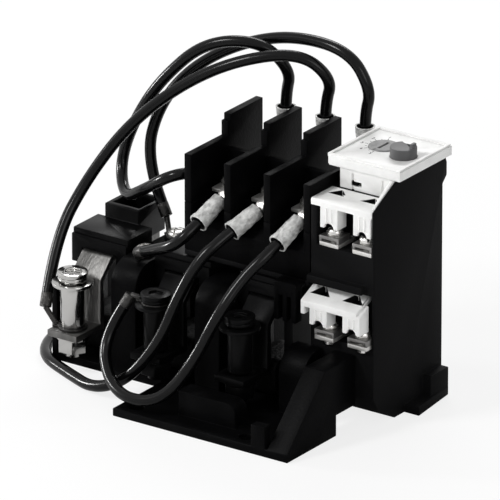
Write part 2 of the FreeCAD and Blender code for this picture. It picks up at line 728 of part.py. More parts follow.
def make_pole_block():
    poles = new_body("pole_block")
    left = -s.pole_left
    add_block(poles, (left, pole_right), (-s.pole_front, s.pole_back), (s.pole_floor, s.deck))
    for low, high in bay_spans:
        # wall between the front and the rear terminal
        add_block(poles, (low + s.barrier_fit, high - s.barrier_fit),
                  (s.cross_wall, s.cross_wall + s.cross_thick), (s.deck, s.barrier_low - 4))
        # sloped chute for the front lead
        pocket(poles, "YZ_Plane", [
            (-s.pole_front, s.chute_low), (s.chute_rear, s.chute_high),
            (s.chute_rear, s.deck), (-s.pole_front, s.deck)], (low, high))
        # heater chamber, open below
        cut_block(poles, (low, high), (s.chamber_front, s.chamber_back),
                  (s.pole_floor, chamber_roof))
        # screw holes through the deck
        for y in (s.front_screw, s.rear_screw):
            cut_rod(poles, "z", ((low + high) / 2, y), (chamber_roof - 1, s.deck + 1),
                    s.screw_radius + 0.2)
    # grooves that hold the barriers
    for index in range(4):
        x = left + s.pole_pitch * index
        cut_block(poles, (x - s.barrier_fit, x + s.barrier + s.barrier_fit),
                  (-s.pole_front - 1, s.pole_back + 1), (s.deck - s.barrier_seat, s.deck + 1))
    # slot for the push bar through every chamber wall
    mid = s.bimetal_y
    cut_block(poles, (bay_spans[0][0], pole_right + 1),
              (mid - s.push_deep - 1.5, mid + s.push_deep + 1.5),
              (s.push_z - s.gap, s.push_z + s.push_high + s.gap))
    return node("pole_block", poles)


def make_barriers():
    """Phase barriers pushed into the grooves; the right-hand one is low all along."""
    foot = s.deck - s.barrier_seat + s.barrier_fit
    slabs = []
    for index in range(4):
        x = -s.pole_left + s.pole_pitch * index
        across = (x, x + s.barrier)
        slab = block(across, (-s.pole_front, s.barrier_back), (foot, s.barrier_low))
        if index < 3:
            tall = block(across, (s.barrier_step + s.barrier_lip, s.barrier_back),
                         (foot, s.barrier_high))
            ledge = block(across, (s.barrier_step, s.barrier_back),
                          (foot, s.barrier_high - s.barrier_lip * 1.5))
            slab = join(slab, tall, ledge)
        slabs.append(slab)
    node("phase_barriers", group(*slabs))


make_pole_block()
make_barriers()


def pole_screw(x, y, low, length):
    shank = rod("z", (x, y), (low - length, low), s.screw_radius)
    head = rod("z", (x, y), (low, low + s.screw_high), s.screw_head)
    slot = block((x - s.screw_head, x + s.screw_head), (y - 0.45, y + 0.45),
                 (low + s.screw_high - 1, low + s.screw_high + 1))
    cross = block((x - 0.45, x + 0.45), (y - s.screw_head * 0.6, y + s.screw_head * 0.6),
                  (low + s.screw_high - 1.2, low + s.screw_high + 1))
    return cut(join(shank, head), slot, cross)


def make_pole_hardware():
    plate_top = s.deck + s.plate_thick
    for name, y in (("front", s.front_screw), ("rear", s.rear_screw)):
        plates = []
        screws = []
        for x in pole_centres:
            centre = y + (1 if name == "front" else -1.5)
            plate = block((x - s.plate_width / 2, x + s.plate_width / 2),
                          (centre - s.plate_long / 2, centre + s.plate_long / 2),
                          (s.deck, plate_top))
            plates.append(cut(plate, rod("z", (x, y), (s.deck - 1, plate_top + 1),
                                         s.screw_radius + s.running)))
            screws.append(pole_screw(x, y, plate_top + s.lug_thick, 6))
        node(name + "_pole_plates", group(*plates))
        node(name + "_pole_screws", group(*screws))


make_pole_hardware()


# ---------------------------------------------------------------- relay housing

def make_housing():
    tower = new_body("relay_housing")
    front = -s.pole_front
    back = s.pole_back
    pad(tower, "YZ_Plane", [
        (s.tower_heel, ground), (back, ground), (back, s.tower_top - s.hook_drop),
        (back + s.hook, s.tower_top - s.hook_drop + s.hook), (back + s.hook, s.tower_top - s.hook),
        (back + s.hook * 0.6, s.tower_top), (front + s.tower_slope, s.tower_top),
        (front, shoulder), (front, s.tower_chin),
        (front + s.tower_heel * 0.3, s.tower_chin * 0.45)],
        (s.tower_left, s.tower_right))
    # shelf that carries the pole block, and its leg on the base
    add_block(tower, (-s.pole_left, s.tower_left), (front, back), (s.shelf, s.pole_floor))
    add_block(tower, (-s.pole_left, -s.pole_left + s.tower_wall), (s.partition_back + 1, back),
              (s.base_floor, s.shelf))
    # tapered side foot with the block on its rear half
    foot = (s.side_foot_front, s.side_foot_front + s.side_foot_long)
    foot_right = s.tower_right + s.side_foot
    pad(tower, "XY_Plane", [
        (s.tower_right, foot[0]), (foot_right, foot[0]),
        (foot_right - s.side_foot_taper, foot[1]), (s.tower_right, foot[1])],
        (ground, s.side_foot_thick))
    add_block(tower, (s.tower_right, foot_right - s.side_foot_taper),
              (foot[1] - s.side_foot_long / 2, foot[1]), (s.side_foot_thick, s.side_foot_high))
    # open top in front of the setting cover, between the side walls
    inside = (s.tower_left - 1, s.tower_right - s.pocket_wall)
    cut_block(tower, inside, (front - 1, s.cover_front),
              (shoulder - s.shroud_plate, s.tower_top + 1))
    cut_block(tower, inside, (s.cover_front - 1, s.cavity_front + 0.5),
              (shoulder, s.tower_top + 1))
    # clamp pockets of the upper and lower auxiliary terminals
    clamp_x = (s.tower_left + s.tower_wall, s.tower_right - s.pocket_wall)
    for (mouth, y), roof in zip(aux_levels, (shoulder, s.lower_pocket_roof)):
        cut_block(tower, clamp_x, (front - 1, front + s.clamp_pocket),
                  (mouth - s.clamp_drop, roof))
        for x in aux_centres:
            cut_rod(tower, "z", (x, y), (mouth - s.clamp_drop - 2.5, mouth), s.screw_radius + 0.2)
    pocket_x = (s.tower_left + s.tower_wall, s.tower_right - s.tower_wall)
    # notch in the left wall for the lower shroud's sloped top
    cut_block(tower, (s.tower_left - 1, s.tower_left + s.tower_wall + 1),
              (front - 1, -s.lower_front + s.lower_deep + 0.1),
              (s.lower_top - s.lower_fall + s.lower_rise * 0.61 - s.shroud_plate * 0.9 - 0.03,
               s.lower_pocket_roof))
    # ledge above the lower shroud
    add_block(tower, (s.tower_left, s.lower_right), (front - 2.8, front),
              (s.lower_top + 3.5, s.lower_top + 6.5))
    # mechanism cavity, open above
    cut_block(tower, pocket_x, (s.cavity_front, back - s.tower_wall),
              (s.tower_wall, s.tower_top + 1))
    # recess beside the reset knob
    cut_rod(tower, "z", (s.reset_x, s.reset_y),
            (lid_low - s.reset_travel - 0.5, s.tower_top + 1), s.reset_radius + s.gap)
    # slot for the push bar and bores for the trip lever's pin
    mid = s.bimetal_y
    cut_block(tower, (s.tower_left - 1, s.tower_left + s.tower_wall + 1),
              (mid - s.push_deep - s.gap, mid + s.push_deep + s.gap),
              (s.push_z - s.gap, s.push_z + s.push_high + s.gap))
    cut_rod(tower, "y", (s.lever_x, s.lever_z), (s.cavity_front - 1.5, back - 1),
            s.pin_radius + 0.02)
    return node("relay_housing", tower)


make_housing()


def make_side_guard():
    """Black comb in front of the housing shelf, left of the lower shroud."""
    guard = new_body("side_guard")
    right = s.tower_left - s.guard_gap
    left_end = right - s.guard_wide
    back = -s.core_front - s.cover_wall - 0.5
    add_block(guard, (left_end, right), (-s.lower_front, back), (s.guard_low, s.pole_floor))
    add_block(guard, (left_end, right), (-s.lower_front, -s.pole_front),
              (s.shelf, s.pole_floor))
    for step in range(2):
        left = right - s.guard_slot_side + step * s.guard_slot_step
        cut_block(guard, (left, left + s.guard_slot), (-s.lower_front - 1, back - s.guard_web),
                  (s.guard_low - 1, s.shelf - s.guard_bridge))
    return node("side_guard", guard)


make_side_guard()


# ---------------------------------------------------------------- auxiliary terminals

def driver_opening(shroud, x, y, up):
    """Triangular opening for the screwdriver, wide side towards the front."""
    pocket(shroud, "XY_Plane", [(x - 5, y), (x + 1.4, y), (x - 2.6, y + 4)], up)


def make_upper_shroud():
    """White shroud: top plate with driver openings and a channel leg before each clamp."""
    shroud = new_body("upper_shroud")
    front = -s.pole_front
    across = (s.tower_left, s.tower_right - s.pocket_wall - 0.05)
    foot = shoulder - s.upper_leg
    under = shoulder - s.shroud_plate
    add_block(shroud, across, (front, s.cover_front - 0.05), (under, shoulder))
    soften(shroud, "Fillet", 0.8,
           lambda p: near(p.z, shoulder) and near(p.y, front))
    for x in aux_centres:
        half = s.leg_width / 2
        add_block(shroud, (x - half, x + half), (front, front + s.leg_depth),
                  (foot, shoulder - s.shroud_plate / 2))
        cut_block(shroud, (x - half + s.leg_wall, x + half - s.leg_wall),
                  (front + s.leg_wall, front + s.leg_depth + 1), (foot - 1, under))
        cut_rod(shroud, "y", (x, foot), (front - 1, front + s.leg_wall + 0.5), half * 0.55)
        driver_opening(shroud, x, front + s.leg_depth + 2.8, (under, shoulder))
    return node("upper_shroud", shroud)


def make_lower_shroud():
    """Like the upper one, but its top slopes down to the front edge."""
    shroud = new_body("lower_shroud")
    front = -s.lower_front
    across = (s.tower_left - 0.3, s.lower_right)
    edge = s.lower_top - s.lower_fall
    rise = s.lower_rise
    thick = s.shroud_plate * 0.9
    pad(shroud, "YZ_Plane", [
        (front, edge - thick), (front, edge), (front + s.lower_deep, edge + rise),
        (front + s.lower_deep, edge + rise - thick)], across)
    legs_back = -s.pole_front - 0.02
    run = legs_back - front
    foot = s.lower_top - s.lower_leg - 0.4
    for x in aux_centres:
        middle = x - 0.5
        half = s.leg_width / 2
        pad(shroud, "YZ_Plane", [
            (front, foot), (front, edge - thick / 2), (legs_back, edge - thick / 2 + run * 0.45),
            (legs_back, foot)], (middle - half, middle + half))
        cut_block(shroud, (middle - half + s.leg_wall, middle + half - s.leg_wall),
                  (front + s.leg_wall, legs_back + 1), (foot - 1, edge - thick))
        cut_rod(shroud, "y", (middle, foot), (front - 1, front + s.leg_wall + 0.5), half * 0.55)
        driver_opening(shroud, x, front + 4.2, (edge - thick - 1, edge + rise + 1))
    # clip at the left end
    add_block(shroud, (across[0], across[0] + 1.6), (front, front + 3),
              (edge - s.shroud_plate * 2, edge - thick / 2))
    return node("lower_shroud", shroud)


make_upper_shroud()
make_lower_shroud()


def make_aux_terminals():
    plates = []
    saddles = []
    screws = []
    for mouth, y in aux_levels:
        for x in aux_centres:
            saddle = (mouth - 4.4, mouth - 3.1)
            plate = (mouth - s.clamp_drop, mouth - s.clamp_drop + 1.5)
            deep = (y - 4, y + s.clamp_pocket - 5)
            plates.append(cut(block((x - 4.1, x + 4.1), deep, plate),
                              rod("z", (x, y), (plate[0] - 1, plate[1] + 1),
                                  s.screw_radius + s.running)))
            body = block((x - s.saddle / 2, x + s.saddle / 2), (y - 4, y + 3.6), saddle)
            lips = [block((x + side * s.saddle / 2 - 0.5, x + side * s.saddle / 2 + 0.5),
                          (y - 4, y + 3.6), (saddle[0] - 1, saddle[1])) for side in (-1, 1)]
            saddles.append(cut(join(body, *lips),
                               rod("z", (x, y), (saddle[0] - 2, saddle[1] + 1),
                                   s.screw_radius + s.running)))
            shank = rod("z", (x, y), (plate[0] - 2, saddle[1]), s.screw_radius)
            head = rod("z", (x, y), (saddle[1], saddle[1] + s.screw_high), s.screw_head * 0.85)
            slot = block((x - s.screw_head, x + s.screw_head), (y - 0.4, y + 0.4),
                         (saddle[1] + s.screw_high - 1, saddle[1] + s.screw_high + 1))
            screws.append(cut(join(shank, head), slot))
    node("aux_plates", group(*plates))
    node("aux_saddles", group(*saddles))
    node("aux_screws", group(*screws))


make_aux_terminals()


# ---------------------------------------------------------------- setting cover and dials

def make_setting_cover():
    cover = new_body("setting_cover")
    left = s.cover_left
    front = s.cover_front
    pad(cover, "XY_Plane", [
        (left + s.cover_corner, front), (s.cover_right, front), (s.cover_right, s.cover_back),
        (left, s.cover_back), (left, front + s.cover_corner)], (lid_low, lid_top))
    inner_right = s.tower_right - s.tower_wall - 0.05
    edge_right = s.tower_right - s.pocket_wall - 0.05
    left = s.tower_left
    add_block(cover, (left + s.cover_step, edge_right), (front + 0.6, front + 2.4),
              (shoulder + 0.05, lid_low))
    # side rib that follows the housing's slope down to the shroud
    low = shoulder + 0.05
    pad(cover, "YZ_Plane", [(0.5, low), (0.5, low + 1), (front, lid_low), (front, low)],
        (edge_right - 1.4, edge_right))
    # locating skirt inside the tower
    skirt = (left + s.tower_wall + 0.1, inner_right)
    deep = (s.cavity_front + 0.1, s.pole_back - s.tower_wall - 0.1)
    add_block(cover, skirt, deep, (s.tower_top - 4, lid_low))
    cut_block(cover, (skirt[0] + 1.5, skirt[1] + 1), (deep[0] + 1.5, deep[1] - 1.5),
              (s.tower_top - 5, lid_low))
    # grooves and the test slot in the front wall
    for x in (left + 8, left + 21):
        cut_block(cover, (x, x + 0.9), (front - 1, front + 1.2),
                  (shoulder - 1, lid_low - 1.5))
    slot_left = s.lever_x - 2.2
    cut_block(cover, (slot_left, slot_left + 4.4), (front - 1, front + 3),
              (shoulder + 1.6, shoulder + 3.4))
    # seats of the dial and the reset knob
    cut_rod(cover, "z", (s.dial_x, s.dial_y), (lid_low + 0.8, lid_top + 1),
            s.dial_radius + s.turn_fit)
    cut_rod(cover, "z", (s.dial_x, s.dial_y), (lid_low - 1, lid_top + 1),
            s.shaft_radius + s.running)
    cut_rod(cover, "z", (s.reset_x, s.reset_y), (lid_low - 1, lid_top + 1),
            s.reset_radius + s.turn_fit)
    return node("setting_cover", cover)


make_setting_cover()

frame_up = (s.tower_top - s.frame_drop - s.frame_thick, s.tower_top - s.frame_drop)
hub_up = (frame_up[1] + 0.1, frame_up[1] + 4.1)
cam_up = (frame_up[0] - 0.4 - s.cam_thick, frame_up[0] - 0.4)
knob_low = lid_low + 0.5


def make_setting_frame():
    """Plate under the cover that carries the dial's shaft and the reset stem."""
    frame = new_body("setting_frame")
    skirt = (s.tower_left + s.tower_wall + 0.05, s.tower_right - s.tower_wall - 0.05)
    deep = (s.cavity_front + 0.05, s.pole_back - s.tower_wall - 0.05)
    add_block(frame, skirt, deep, frame_up)
    for x, y in ((s.dial_x, s.dial_y), (s.reset_x, s.reset_y)):
        cut_rod(frame, "z", (x, y), (frame_up[0] - 1, frame_up[1] + 1),
                s.shaft_radius + s.running)
    return node("setting_frame", frame)


def make_dial():
    dial = new_body("setting_dial")
    top = lid_top + s.dial_proud
    centre = (s.dial_x, s.dial_y)
    add_rod(dial, "z", centre, (lid_low + 1, top), s.dial_radius)
    add_rod(dial, "z", centre, (cam_up[0], lid_low + 1), s.shaft_radius)
    # driver slot and the pointer notch at its end
    cut_block(dial, (s.dial_x - 0.55, s.dial_x + 0.55), (s.dial_y - 3.4, s.dial_y + 3.4),
              (top - 1, top + 1))
    cut_block(dial, (s.dial_x - 0.9, s.dial_x + 0.9),
              (s.dial_y - s.dial_radius, s.dial_y - s.dial_radius + 1.2), (top - 0.4, top + 1))
    node("setting_dial", dial)
    cam = cut(rod("z", (s.dial_x + s.cam_throw, s.dial_y), cam_up, s.cam_radius),
              rod("z", centre, (cam_up[0] - 1, cam_up[1] + 1), s.shaft_radius))
    node("setting_cam", cam)


def make_reset():
    centre = (s.reset_x, s.reset_y)
    top = lid_top + s.reset_proud
    knob = new_body("reset_knob")
    add_rod(knob, "z", centre, (knob_low, top), s.reset_radius)
    add_rod(knob, "z", centre, (cam_up[0] - 0.8, knob_low), s.shaft_radius)
    # crescent finger notch and the raised fin behind it
    cut_rod(knob, "z", (s.reset_x - 0.6, s.reset_y + s.reset_radius + 1.4), (top - 1.8, top + 1),
            3.4)
    add_block(knob, (s.reset_x + 3, s.reset_x + 4.3), (s.reset_y - 0.8, s.reset_y + 2),
              (top - 1, top + 1.6))
    node("reset_knob", knob)
    hub = cut(rod("z", centre, hub_up, s.hub_radius),
              rod("z", centre, (hub_up[0] - 1, hub_up[1] + 1), s.shaft_radius + s.running))
    node("reset_hub", hub)


def make_test_slider():
    slider = new_body("test_slider")
    left = s.lever_x - 1.9
    low = shoulder + 1.9
    add_block(slider, (left, left + 2.2), (s.cover_front + 0.9, s.cavity_front + 3),
              (low, low + 1.2))
    add_block(slider, (left, left + 2.2), (s.cavity_front + 1, s.cavity_front + 3),
              (hub_up[0] + 0.6, low + 1.2))
    return node("test_slider", slider)


make_setting_frame()
make_dial()
make_reset()
make_test_slider()


# ---------------------------------------------------------------- mechanism

def make_mechanism():
    mid = s.bimetal_y
    push_top = s.push_z + s.push_high
    lever_face = s.lever_x - 1
    # push bar with a window round each bimetal strip
    bar = new_body("push_bar")
    add_block(bar, (bay_spans[0][0] + 2.5, lever_face - s.gap),
              (mid - s.push_deep, mid + s.push_deep), (s.push_z, push_top))
    for x in pole_centres:
        cut_block(bar, (x - s.bimetal_thick / 2 - s.push_travel - s.gap,
                        x + s.bimetal_thick / 2 + s.gap),
                  (mid - s.bimetal_width / 2 - s.gap, mid + s.bimetal_width / 2 + s.gap),
                  (s.push_z - 1, push_top + 1))
    node("push_bar", bar)
    node("bimetal_strips", group(*[
        block((x - s.bimetal_thick / 2, x + s.bimetal_thick / 2),
              (mid - s.bimetal_width / 2, mid + s.bimetal_width / 2),
              (s.push_z - 2, chamber_roof)) for x in pole_centres]))
    heaters = []
    for x in pole_centres:
        up = (push_top + 1.5, chamber_roof - 1)
        outer = block((x - s.heater_radius, x + s.heater_radius), (mid - 4, mid + 4), up)
        inner = block((x - s.bimetal_thick / 2, x + s.bimetal_thick / 2),
                      (mid - s.bimetal_width / 2, mid + s.bimetal_width / 2),
                      (up[0] - 1, up[1] + 1))
        heaters.append(cut(outer, inner))
    node("heater_windings", group(*heaters))
    # trip lever on its pin
    node("lever_pin", rod("y", (s.lever_x, s.lever_z), (s.cavity_front - 1.5, s.pole_back - 1),
                          s.pin_radius))
    lever = new_body("trip_lever")
    depth = (mid - 3.4, mid + 7)
    add_rod(lever, "y", (s.lever_x, s.lever_z), depth, s.pin_radius + 1.6)
    add_block(lever, (lever_face, s.lever_x + 1), (mid - 3.4, mid + 3.4),
              (s.push_z - 2, s.lever_z))
    add_block(lever, (s.lever_x, s.carrier_x), (mid + 3.4, mid + 6), (s.lever_z - 1, s.lever_z + 1))
    cut_rod(lever, "y", (s.lever_x, s.lever_z), (depth[0] - 1, depth[1] + 1),
            s.pin_radius + s.running)
    node("trip_lever", lever)
    # contact carrier, guided by a plate and lifted by the lever's arm
    carrier = new_body("contact_carrier")
    half = s.carrier_half
    deep = s.carrier_deep
    y_mid = s.carrier_y
    top = s.carrier_z + s.carrier_high
    hook_top = s.lever_z + s.hook_reach
    hook_from = y_mid - s.hook_half
    add_block(carrier, (s.carrier_x - half, s.carrier_x + half), (y_mid - deep, y_mid + deep),
              (s.carrier_z, top))
    add_block(carrier, (s.carrier_x + half - 1.8, s.carrier_x + half + 1), (hook_from, y_mid + deep),
              (top - 1, hook_top))
    add_block(carrier, (s.carrier_x - half, s.carrier_x + half + 1), (hook_from, y_mid + deep),
              (s.lever_z + s.hook_grip, hook_top))
    first = s.carrier_z + s.bridge_rise
    last = first + s.bridge_step
    bridge_across = (s.carrier_x - s.bridge_half, s.carrier_x + s.bridge_half)
    bridges = []
    for level in (first, last):
        cut_block(carrier, bridge_across, (y_mid - deep - 1, y_mid + deep + 1),
                  (level, level + s.bridge_thick))
        bridges.append(block(bridge_across, (y_mid - s.bridge_reach, y_mid + s.bridge_reach),
                             (level, level + s.bridge_thick)))
    node("contact_carrier", carrier)
    node("contact_bridges", group(*bridges))
    fixed = []
    bar_across = (s.carrier_x - s.bridge_half, s.tower_right - s.tower_wall)
    under = first - s.rivet_air
    over = last + s.bridge_thick + s.carrier_travel + s.rivet_air
    for side in (-1, 1):
        rivet_y = y_mid + side * s.rivet_out
        wall = (rivet_y - s.rivet_radius, rivet_y + s.rivet_radius)
        fixed.append(join(
            rod("z", (s.carrier_x, rivet_y), (under - s.rivet_high, under), s.rivet_radius),
            block(bar_across, wall, (under - s.rivet_high - s.contact_bar, under - s.rivet_high))))
        fixed.append(join(
            rod("z", (s.carrier_x, rivet_y), (over, over + s.rivet_high), s.rivet_radius),
            block(bar_across, wall, (over + s.rivet_high, over + s.rivet_high + s.contact_bar))))
    node("fixed_contacts", group(*fixed))
    guide = new_body("carrier_guide")
    guide_low = s.carrier_z + s.guide_rise
    slide_half = half + s.guide_fit
    slide_deep = deep + s.guide_fit
    add_block(guide, (s.tower_left + s.tower_wall, s.tower_right - s.tower_wall),
              (s.cavity_front, s.pole_back - s.tower_wall),
              (guide_low, guide_low + s.guide_high))
    cut_block(guide, (s.carrier_x - slide_half, s.carrier_x + slide_half),
              (y_mid - slide_deep, y_mid + slide_deep),
              (guide_low - 1, guide_low + s.guide_high + 1))
    node("carrier_guide", guide)


make_mechanism()


# ---------------------------------------------------------------- leads, lugs and sleeves

# Each lead leaves a lug barrel on the relay: the front ones slope down and lean a little to
# the left, the rear ones stand up. Offset of each barrel's end from its pole, and its lean:
BARRELS = {"front_1": (0, -0.15), "front_2": (-1.9, -0.33), "front_3": (0, -0.15),
           "rear_1": (1.5, 0), "rear_2": (1.5, 0), "rear_3": (1.5, 0)}
LAID = {
    "rear_1": [(-4, 43.5, 109), (-12.1, 36.3, 121), (-32.4, 30.2, 118.4), (-48.5, 25.5, 102),
               (-59, 23.5, 85), (-67, 25, 66), (-57, 13.5, 57), (-43, 7.5, 66), (-30, 5, 75),
               (-23, 14, 75), (-22.5, 28, 66), (-22.3, 33, 52)],
    "rear_2": [(13.8, 44, 109.5), (4, 38, 119.5), (-17, 29, 115), (-37, 22, 103.5),
               (-55, 14, 86.5), (-67, 5, 66), (-71.5, -9, 46), (-67.5, -20, 28.5)],
    "rear_3": [(30.8, 44, 109), (22, 43, 122.5), (-2.5, 44.3, 122.8), (-23.6, 41.3, 116.6),
               (-42, 36, 105), (-53.5, 30.5, 89), (-56, 25.5, 69), (-46.5, 22.5, 54.5)],
    "front_1": [(-15.5, -13.8, 57), (-24, -11.5, 53), (-32.5, -8.2, 49)],
    "front_2": [(-2, -17, 56), (-7, -24, 42), (-10.5, -29, 27), (-22, -32.8, 10),
                (-37, -33.5, 2.6), (-54, -26, 2.3), (-71, -18, 2.3), (-79.5, -3, 2.3),
                (-80, 14, 2.6), (-77, 26.5, 5.6), (-70, 34, 6)],
    "front_3": [(18, -18, 54), (13.5, -28, 41.5), (7, -33, 24), (-0.5, -42, 10),
                (-14.7, -44, 7.2), (-28.1, -37.7, 10.3), (-36.8, -28, 21), (-31.2, -23, 33)],
}


def barrel_end(kind, index):
    """Where a lead enters its lug barrel on the relay, and the way it leaves."""
    offset, lean = BARRELS["%s_%d" % (kind, index + 1)]
    across = pole_centres[index].value + offset
    if kind == "front":
        along = V(lean, -0.87, -0.47)
        along.normalize()
        return V(across, -s.pole_front.value + 0.1, s.deck.value - 4.4), along
    return V(across, s.pole_back.value + 3.5, s.deck.value + 17), V(0, 0, 1)


def whole_routes():
    routes = {}
    for kind in ("rear", "front"):
        for index in range(3):
            end, along = barrel_end(kind, index)
            label = "%s_%d" % (kind, index + 1)
            routes["lead_" + label] = [tuple(end), tuple(end + along * 10)] + LAID[label]
    return routes


ROUTES = whole_routes()


def tube_path(points):
    """Straight runs joined by tangent arcs of 0.45 of the shorter run."""
    points = [V(*point) for point in points]
    edges = []
    radii = []
    at = points[0]
    for index in range(1, len(points) - 1):
        corner = points[index]
        back = (points[index - 1] - corner)
        ahead = (points[index + 1] - corner)
        turn = math.pi - back.getAngle(ahead)
        reach = 0.45 * min(back.Length, ahead.Length)
        radii.append(reach / math.tan(turn / 2))
        back.normalize()
        ahead.normalize()
        start = corner + back * reach
        end = corner + ahead * reach
        bisector = (back + ahead)
        bisector.normalize()
        centre_far = radii[-1] / math.cos(turn / 2)
        middle = corner + bisector * (centre_far - radii[-1])
        edges.append(Part.LineSegment(at, start).toShape())
        edges.append(Part.Arc(start, middle, end).toShape())
        at = end
    edges.append(Part.LineSegment(at, points[-1]).toShape())
    return Part.Wire(edges), radii


def make_tube(label, points, radius):
    path, radii = tube_path(points)
    first = V(*points[0])
    along = V(*points[1]) - first
    section = Part.Wire([Part.makeCircle(radius, first, along)])
    tube = path.makePipeShell([section], True, False)
    expected = math.pi * radius ** 2 * path.Length
    print("%s length %.1f volume ratio %.4f smallest radius %.1f radii %s" % (
        label, path.Length, tube.Volume / expected, min(radii),
        " ".join("%.0f" % bend for bend in radii)))
    fixed_shape(label, tube)


for label, points in ROUTES.items():
    make_tube(label, points, s.lead_radius.value)


def make_reset_spring():
    """Coil round the reset stem, from the hub up to the knob; seven points to a turn."""
    per_turn = 7
    count = 3 * per_turn
    wire = s.spring_wire.value
    low = hub_up[1].value + wire
    high = knob_low.value - wire
    points = []
    for index in range(count + 1):
        angle = 2 * math.pi * index / per_turn
        points.append((s.reset_x.value + s.spring_coil.value * math.cos(angle),
                       s.reset_y.value + s.spring_coil.value * math.sin(angle),
                       low + (high - low) * index / count))
    make_tube("reset_spring", points, wire)


make_reset_spring()


def round_bar(start, end, radius):
    return Part.makeCylinder(radius, (end - start).Length, start, end - start)


def pole_lugs():
    """Ring lugs under the pole screws; the front ones slope down, the rear ones stand up."""
    low = s.deck.value + s.plate_thick.value
    thick = s.lug_thick.value
    fronts, rears, front_sleeves, rear_sleeves = [], [], [], []
    for index, centre in enumerate(pole_centres):
        x = centre.value
        for kind in ("front", "rear"):
            y = (s.front_screw if kind == "front" else s.rear_screw).value
            tongue = Part.makeCylinder(s.lug_radius.value, thick, V(x, y, low))
            end, along = barrel_end(kind, index)
            start = end - along * s.lug_long.value
            # bent neck, seen from the side, from the tongue into the barrel
            if kind == "front":
                side = [(y, low), (y, low + thick), (start.y + 2.4, low + thick),
                        (start.y + 0.6, low - 0.2), (start.y - 0.6, start.z - 0.7),
                        (start.y + 0.3, start.z - 1.1), (start.y + 1.7, low - 0.6),
                        (start.y + 2.6, low)]
            else:
                side = [(y, low), (y, low + thick), (start.y - 1.6, low + thick),
                        (start.y - 0.5, start.z - 1), (start.y - 0.5, start.z + 1),
                        (start.y + 0.5, start.z + 1), (start.y + 0.5, start.z - 1.6),
                        (start.y - 1, low)]
            half = 0.75 * s.lug_barrel.value
            face = Part.Face(Part.makePolygon(
                [V(start.x - half, a, b) for a, b in side + side[:1]]))
            neck = face.extrude(V(2 * half, 0, 0))
            barrel = round_bar(start, end, s.lug_barrel.value)
            hole = Part.makeCylinder(s.screw_radius.value + s.running.value, 9,
                                     V(x, y, low - 4))
            lug = tongue.fuse(neck).fuse(barrel).removeSplitter().cut(hole)
            sleeve_start = start + along * 0.9
            sleeve_end = sleeve_start + along * s.sleeve_long.value
            sleeve = round_bar(sleeve_start, sleeve_end, s.sleeve_out.value).cut(
                round_bar(start, sleeve_end + along, s.sleeve_bore.value))
            (fronts if kind == "front" else rears).append(lug)
            (front_sleeves if kind == "front" else rear_sleeves).append(sleeve)
    fixed_shape("front_lugs", Part.makeCompound(fronts))
    fixed_shape("rear_lugs", Part.makeCompound(rears))
    fixed_shape("front_sleeves", Part.makeCompound(front_sleeves))
    fixed_shape("rear_sleeves", Part.makeCompound(rear_sleeves))


pole_lugs()


def end_lugs():
    """Ring lugs at the transformer ends of the leads, and the screws that hold four of them."""
    tab_top = s.bar_foot.value + s.bar_thick.value
    washer_top = s.sleeve_top.value + s.washer_thick.value
    bolt = bolt_y.value
    seats = {
        "lead_rear_1": (V(*END_SCREWS[0]), 3.6, 2),
        "lead_rear_2": (V(ct_centres[0].value, bolt, tab_top), 5.4, 3),
        "lead_rear_3": (V(*END_SCREWS[1]), 3.6, 2),
        "lead_front_1": (V(*END_SCREWS[2]), 3.6, 2),
        "lead_front_2": (V(*END_SCREWS[3]), 3.6, 2),
        "lead_front_3": (V(ct_centres[1].value, bolt, washer_top), 5.4, 3),
    }
    lugs = []
    screws = []
    thick = s.lug_thick.value
    for label, (seat, ring_radius, hole) in seats.items():
        end = V(*ROUTES[label][-1])
        along = end - V(*ROUTES[label][-2])
        along.normalize()
        inner = end + along * 5
        toward = V(inner.x - seat.x, inner.y - seat.y, 0)
        toward.normalize()
        root = seat + toward * (ring_radius + 1.3) + V(0, 0, 1.02)
        strip = Part.makeBox(ring_radius + 1.8, 3.6, thick, V(0, -1.8, 0))
        strip.rotate(V(0, 0, 0), V(0, 0, 1), math.degrees(math.atan2(toward.y, toward.x)))
        strip.translate(seat)
        tongue = Part.makeCylinder(ring_radius, thick, seat).fuse(strip)
        neck = round_bar(root, inner, 1.0)
        barrel = round_bar(end, inner, s.lug_barrel.value)
        heel = Part.makeCylinder(1.0, 1.6, root - V(0, 0, 1))
        bore = Part.makeCylinder(hole + s.running.value, 12, seat - V(0, 0, 4))
        lugs.append(tongue.fuse([neck, barrel, heel]).cut(bore))
        if hole == 2:
            screws.append(pole_screw(seat.x, seat.y, seat.z + thick, 2.5 + thick))
    fixed_shape("end_lugs", Part.makeCompound(lugs))
    node("end_screws", group(*screws))
    return seats


seats = end_lugs()


# ---------------------------------------------------------------- check and write

def problems():
    found = []
    for obj in doc.Objects:
        if "Invalid" in obj.State or "Error" in obj.State:
            found.append("%s (%s) state %s" % (obj.Name, obj.Label, obj.State))
    for obj in NODES:
        shape = obj.Shape
        if shape.isNull() or not shape.isValid() or not shape.Solids:
            found.append("%s has no valid solid" % obj.Label)
    return found


doc.recompute()
faults = problems()
if faults:
    raise RuntimeError("; ".join(faults))
os.makedirs("parts", exist_ok=True)
for obj in NODES:
    shape = obj.Shape
    shape.exportStep("parts/%s.step" % obj.Label)
    box = shape.BoundBox
    print("%-18s solids %2d  x %6.1f %6.1f  y %6.1f %6.1f  z %6.1f %6.1f" % (
        obj.Label, len(shape.Solids), box.XMin, box.XMax, box.YMin, box.YMax,
        box.ZMin, box.ZMax))
print(len(NODES), "nodes")
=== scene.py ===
import math

import bmesh
import bpy
from mathutils import Matrix, Vector


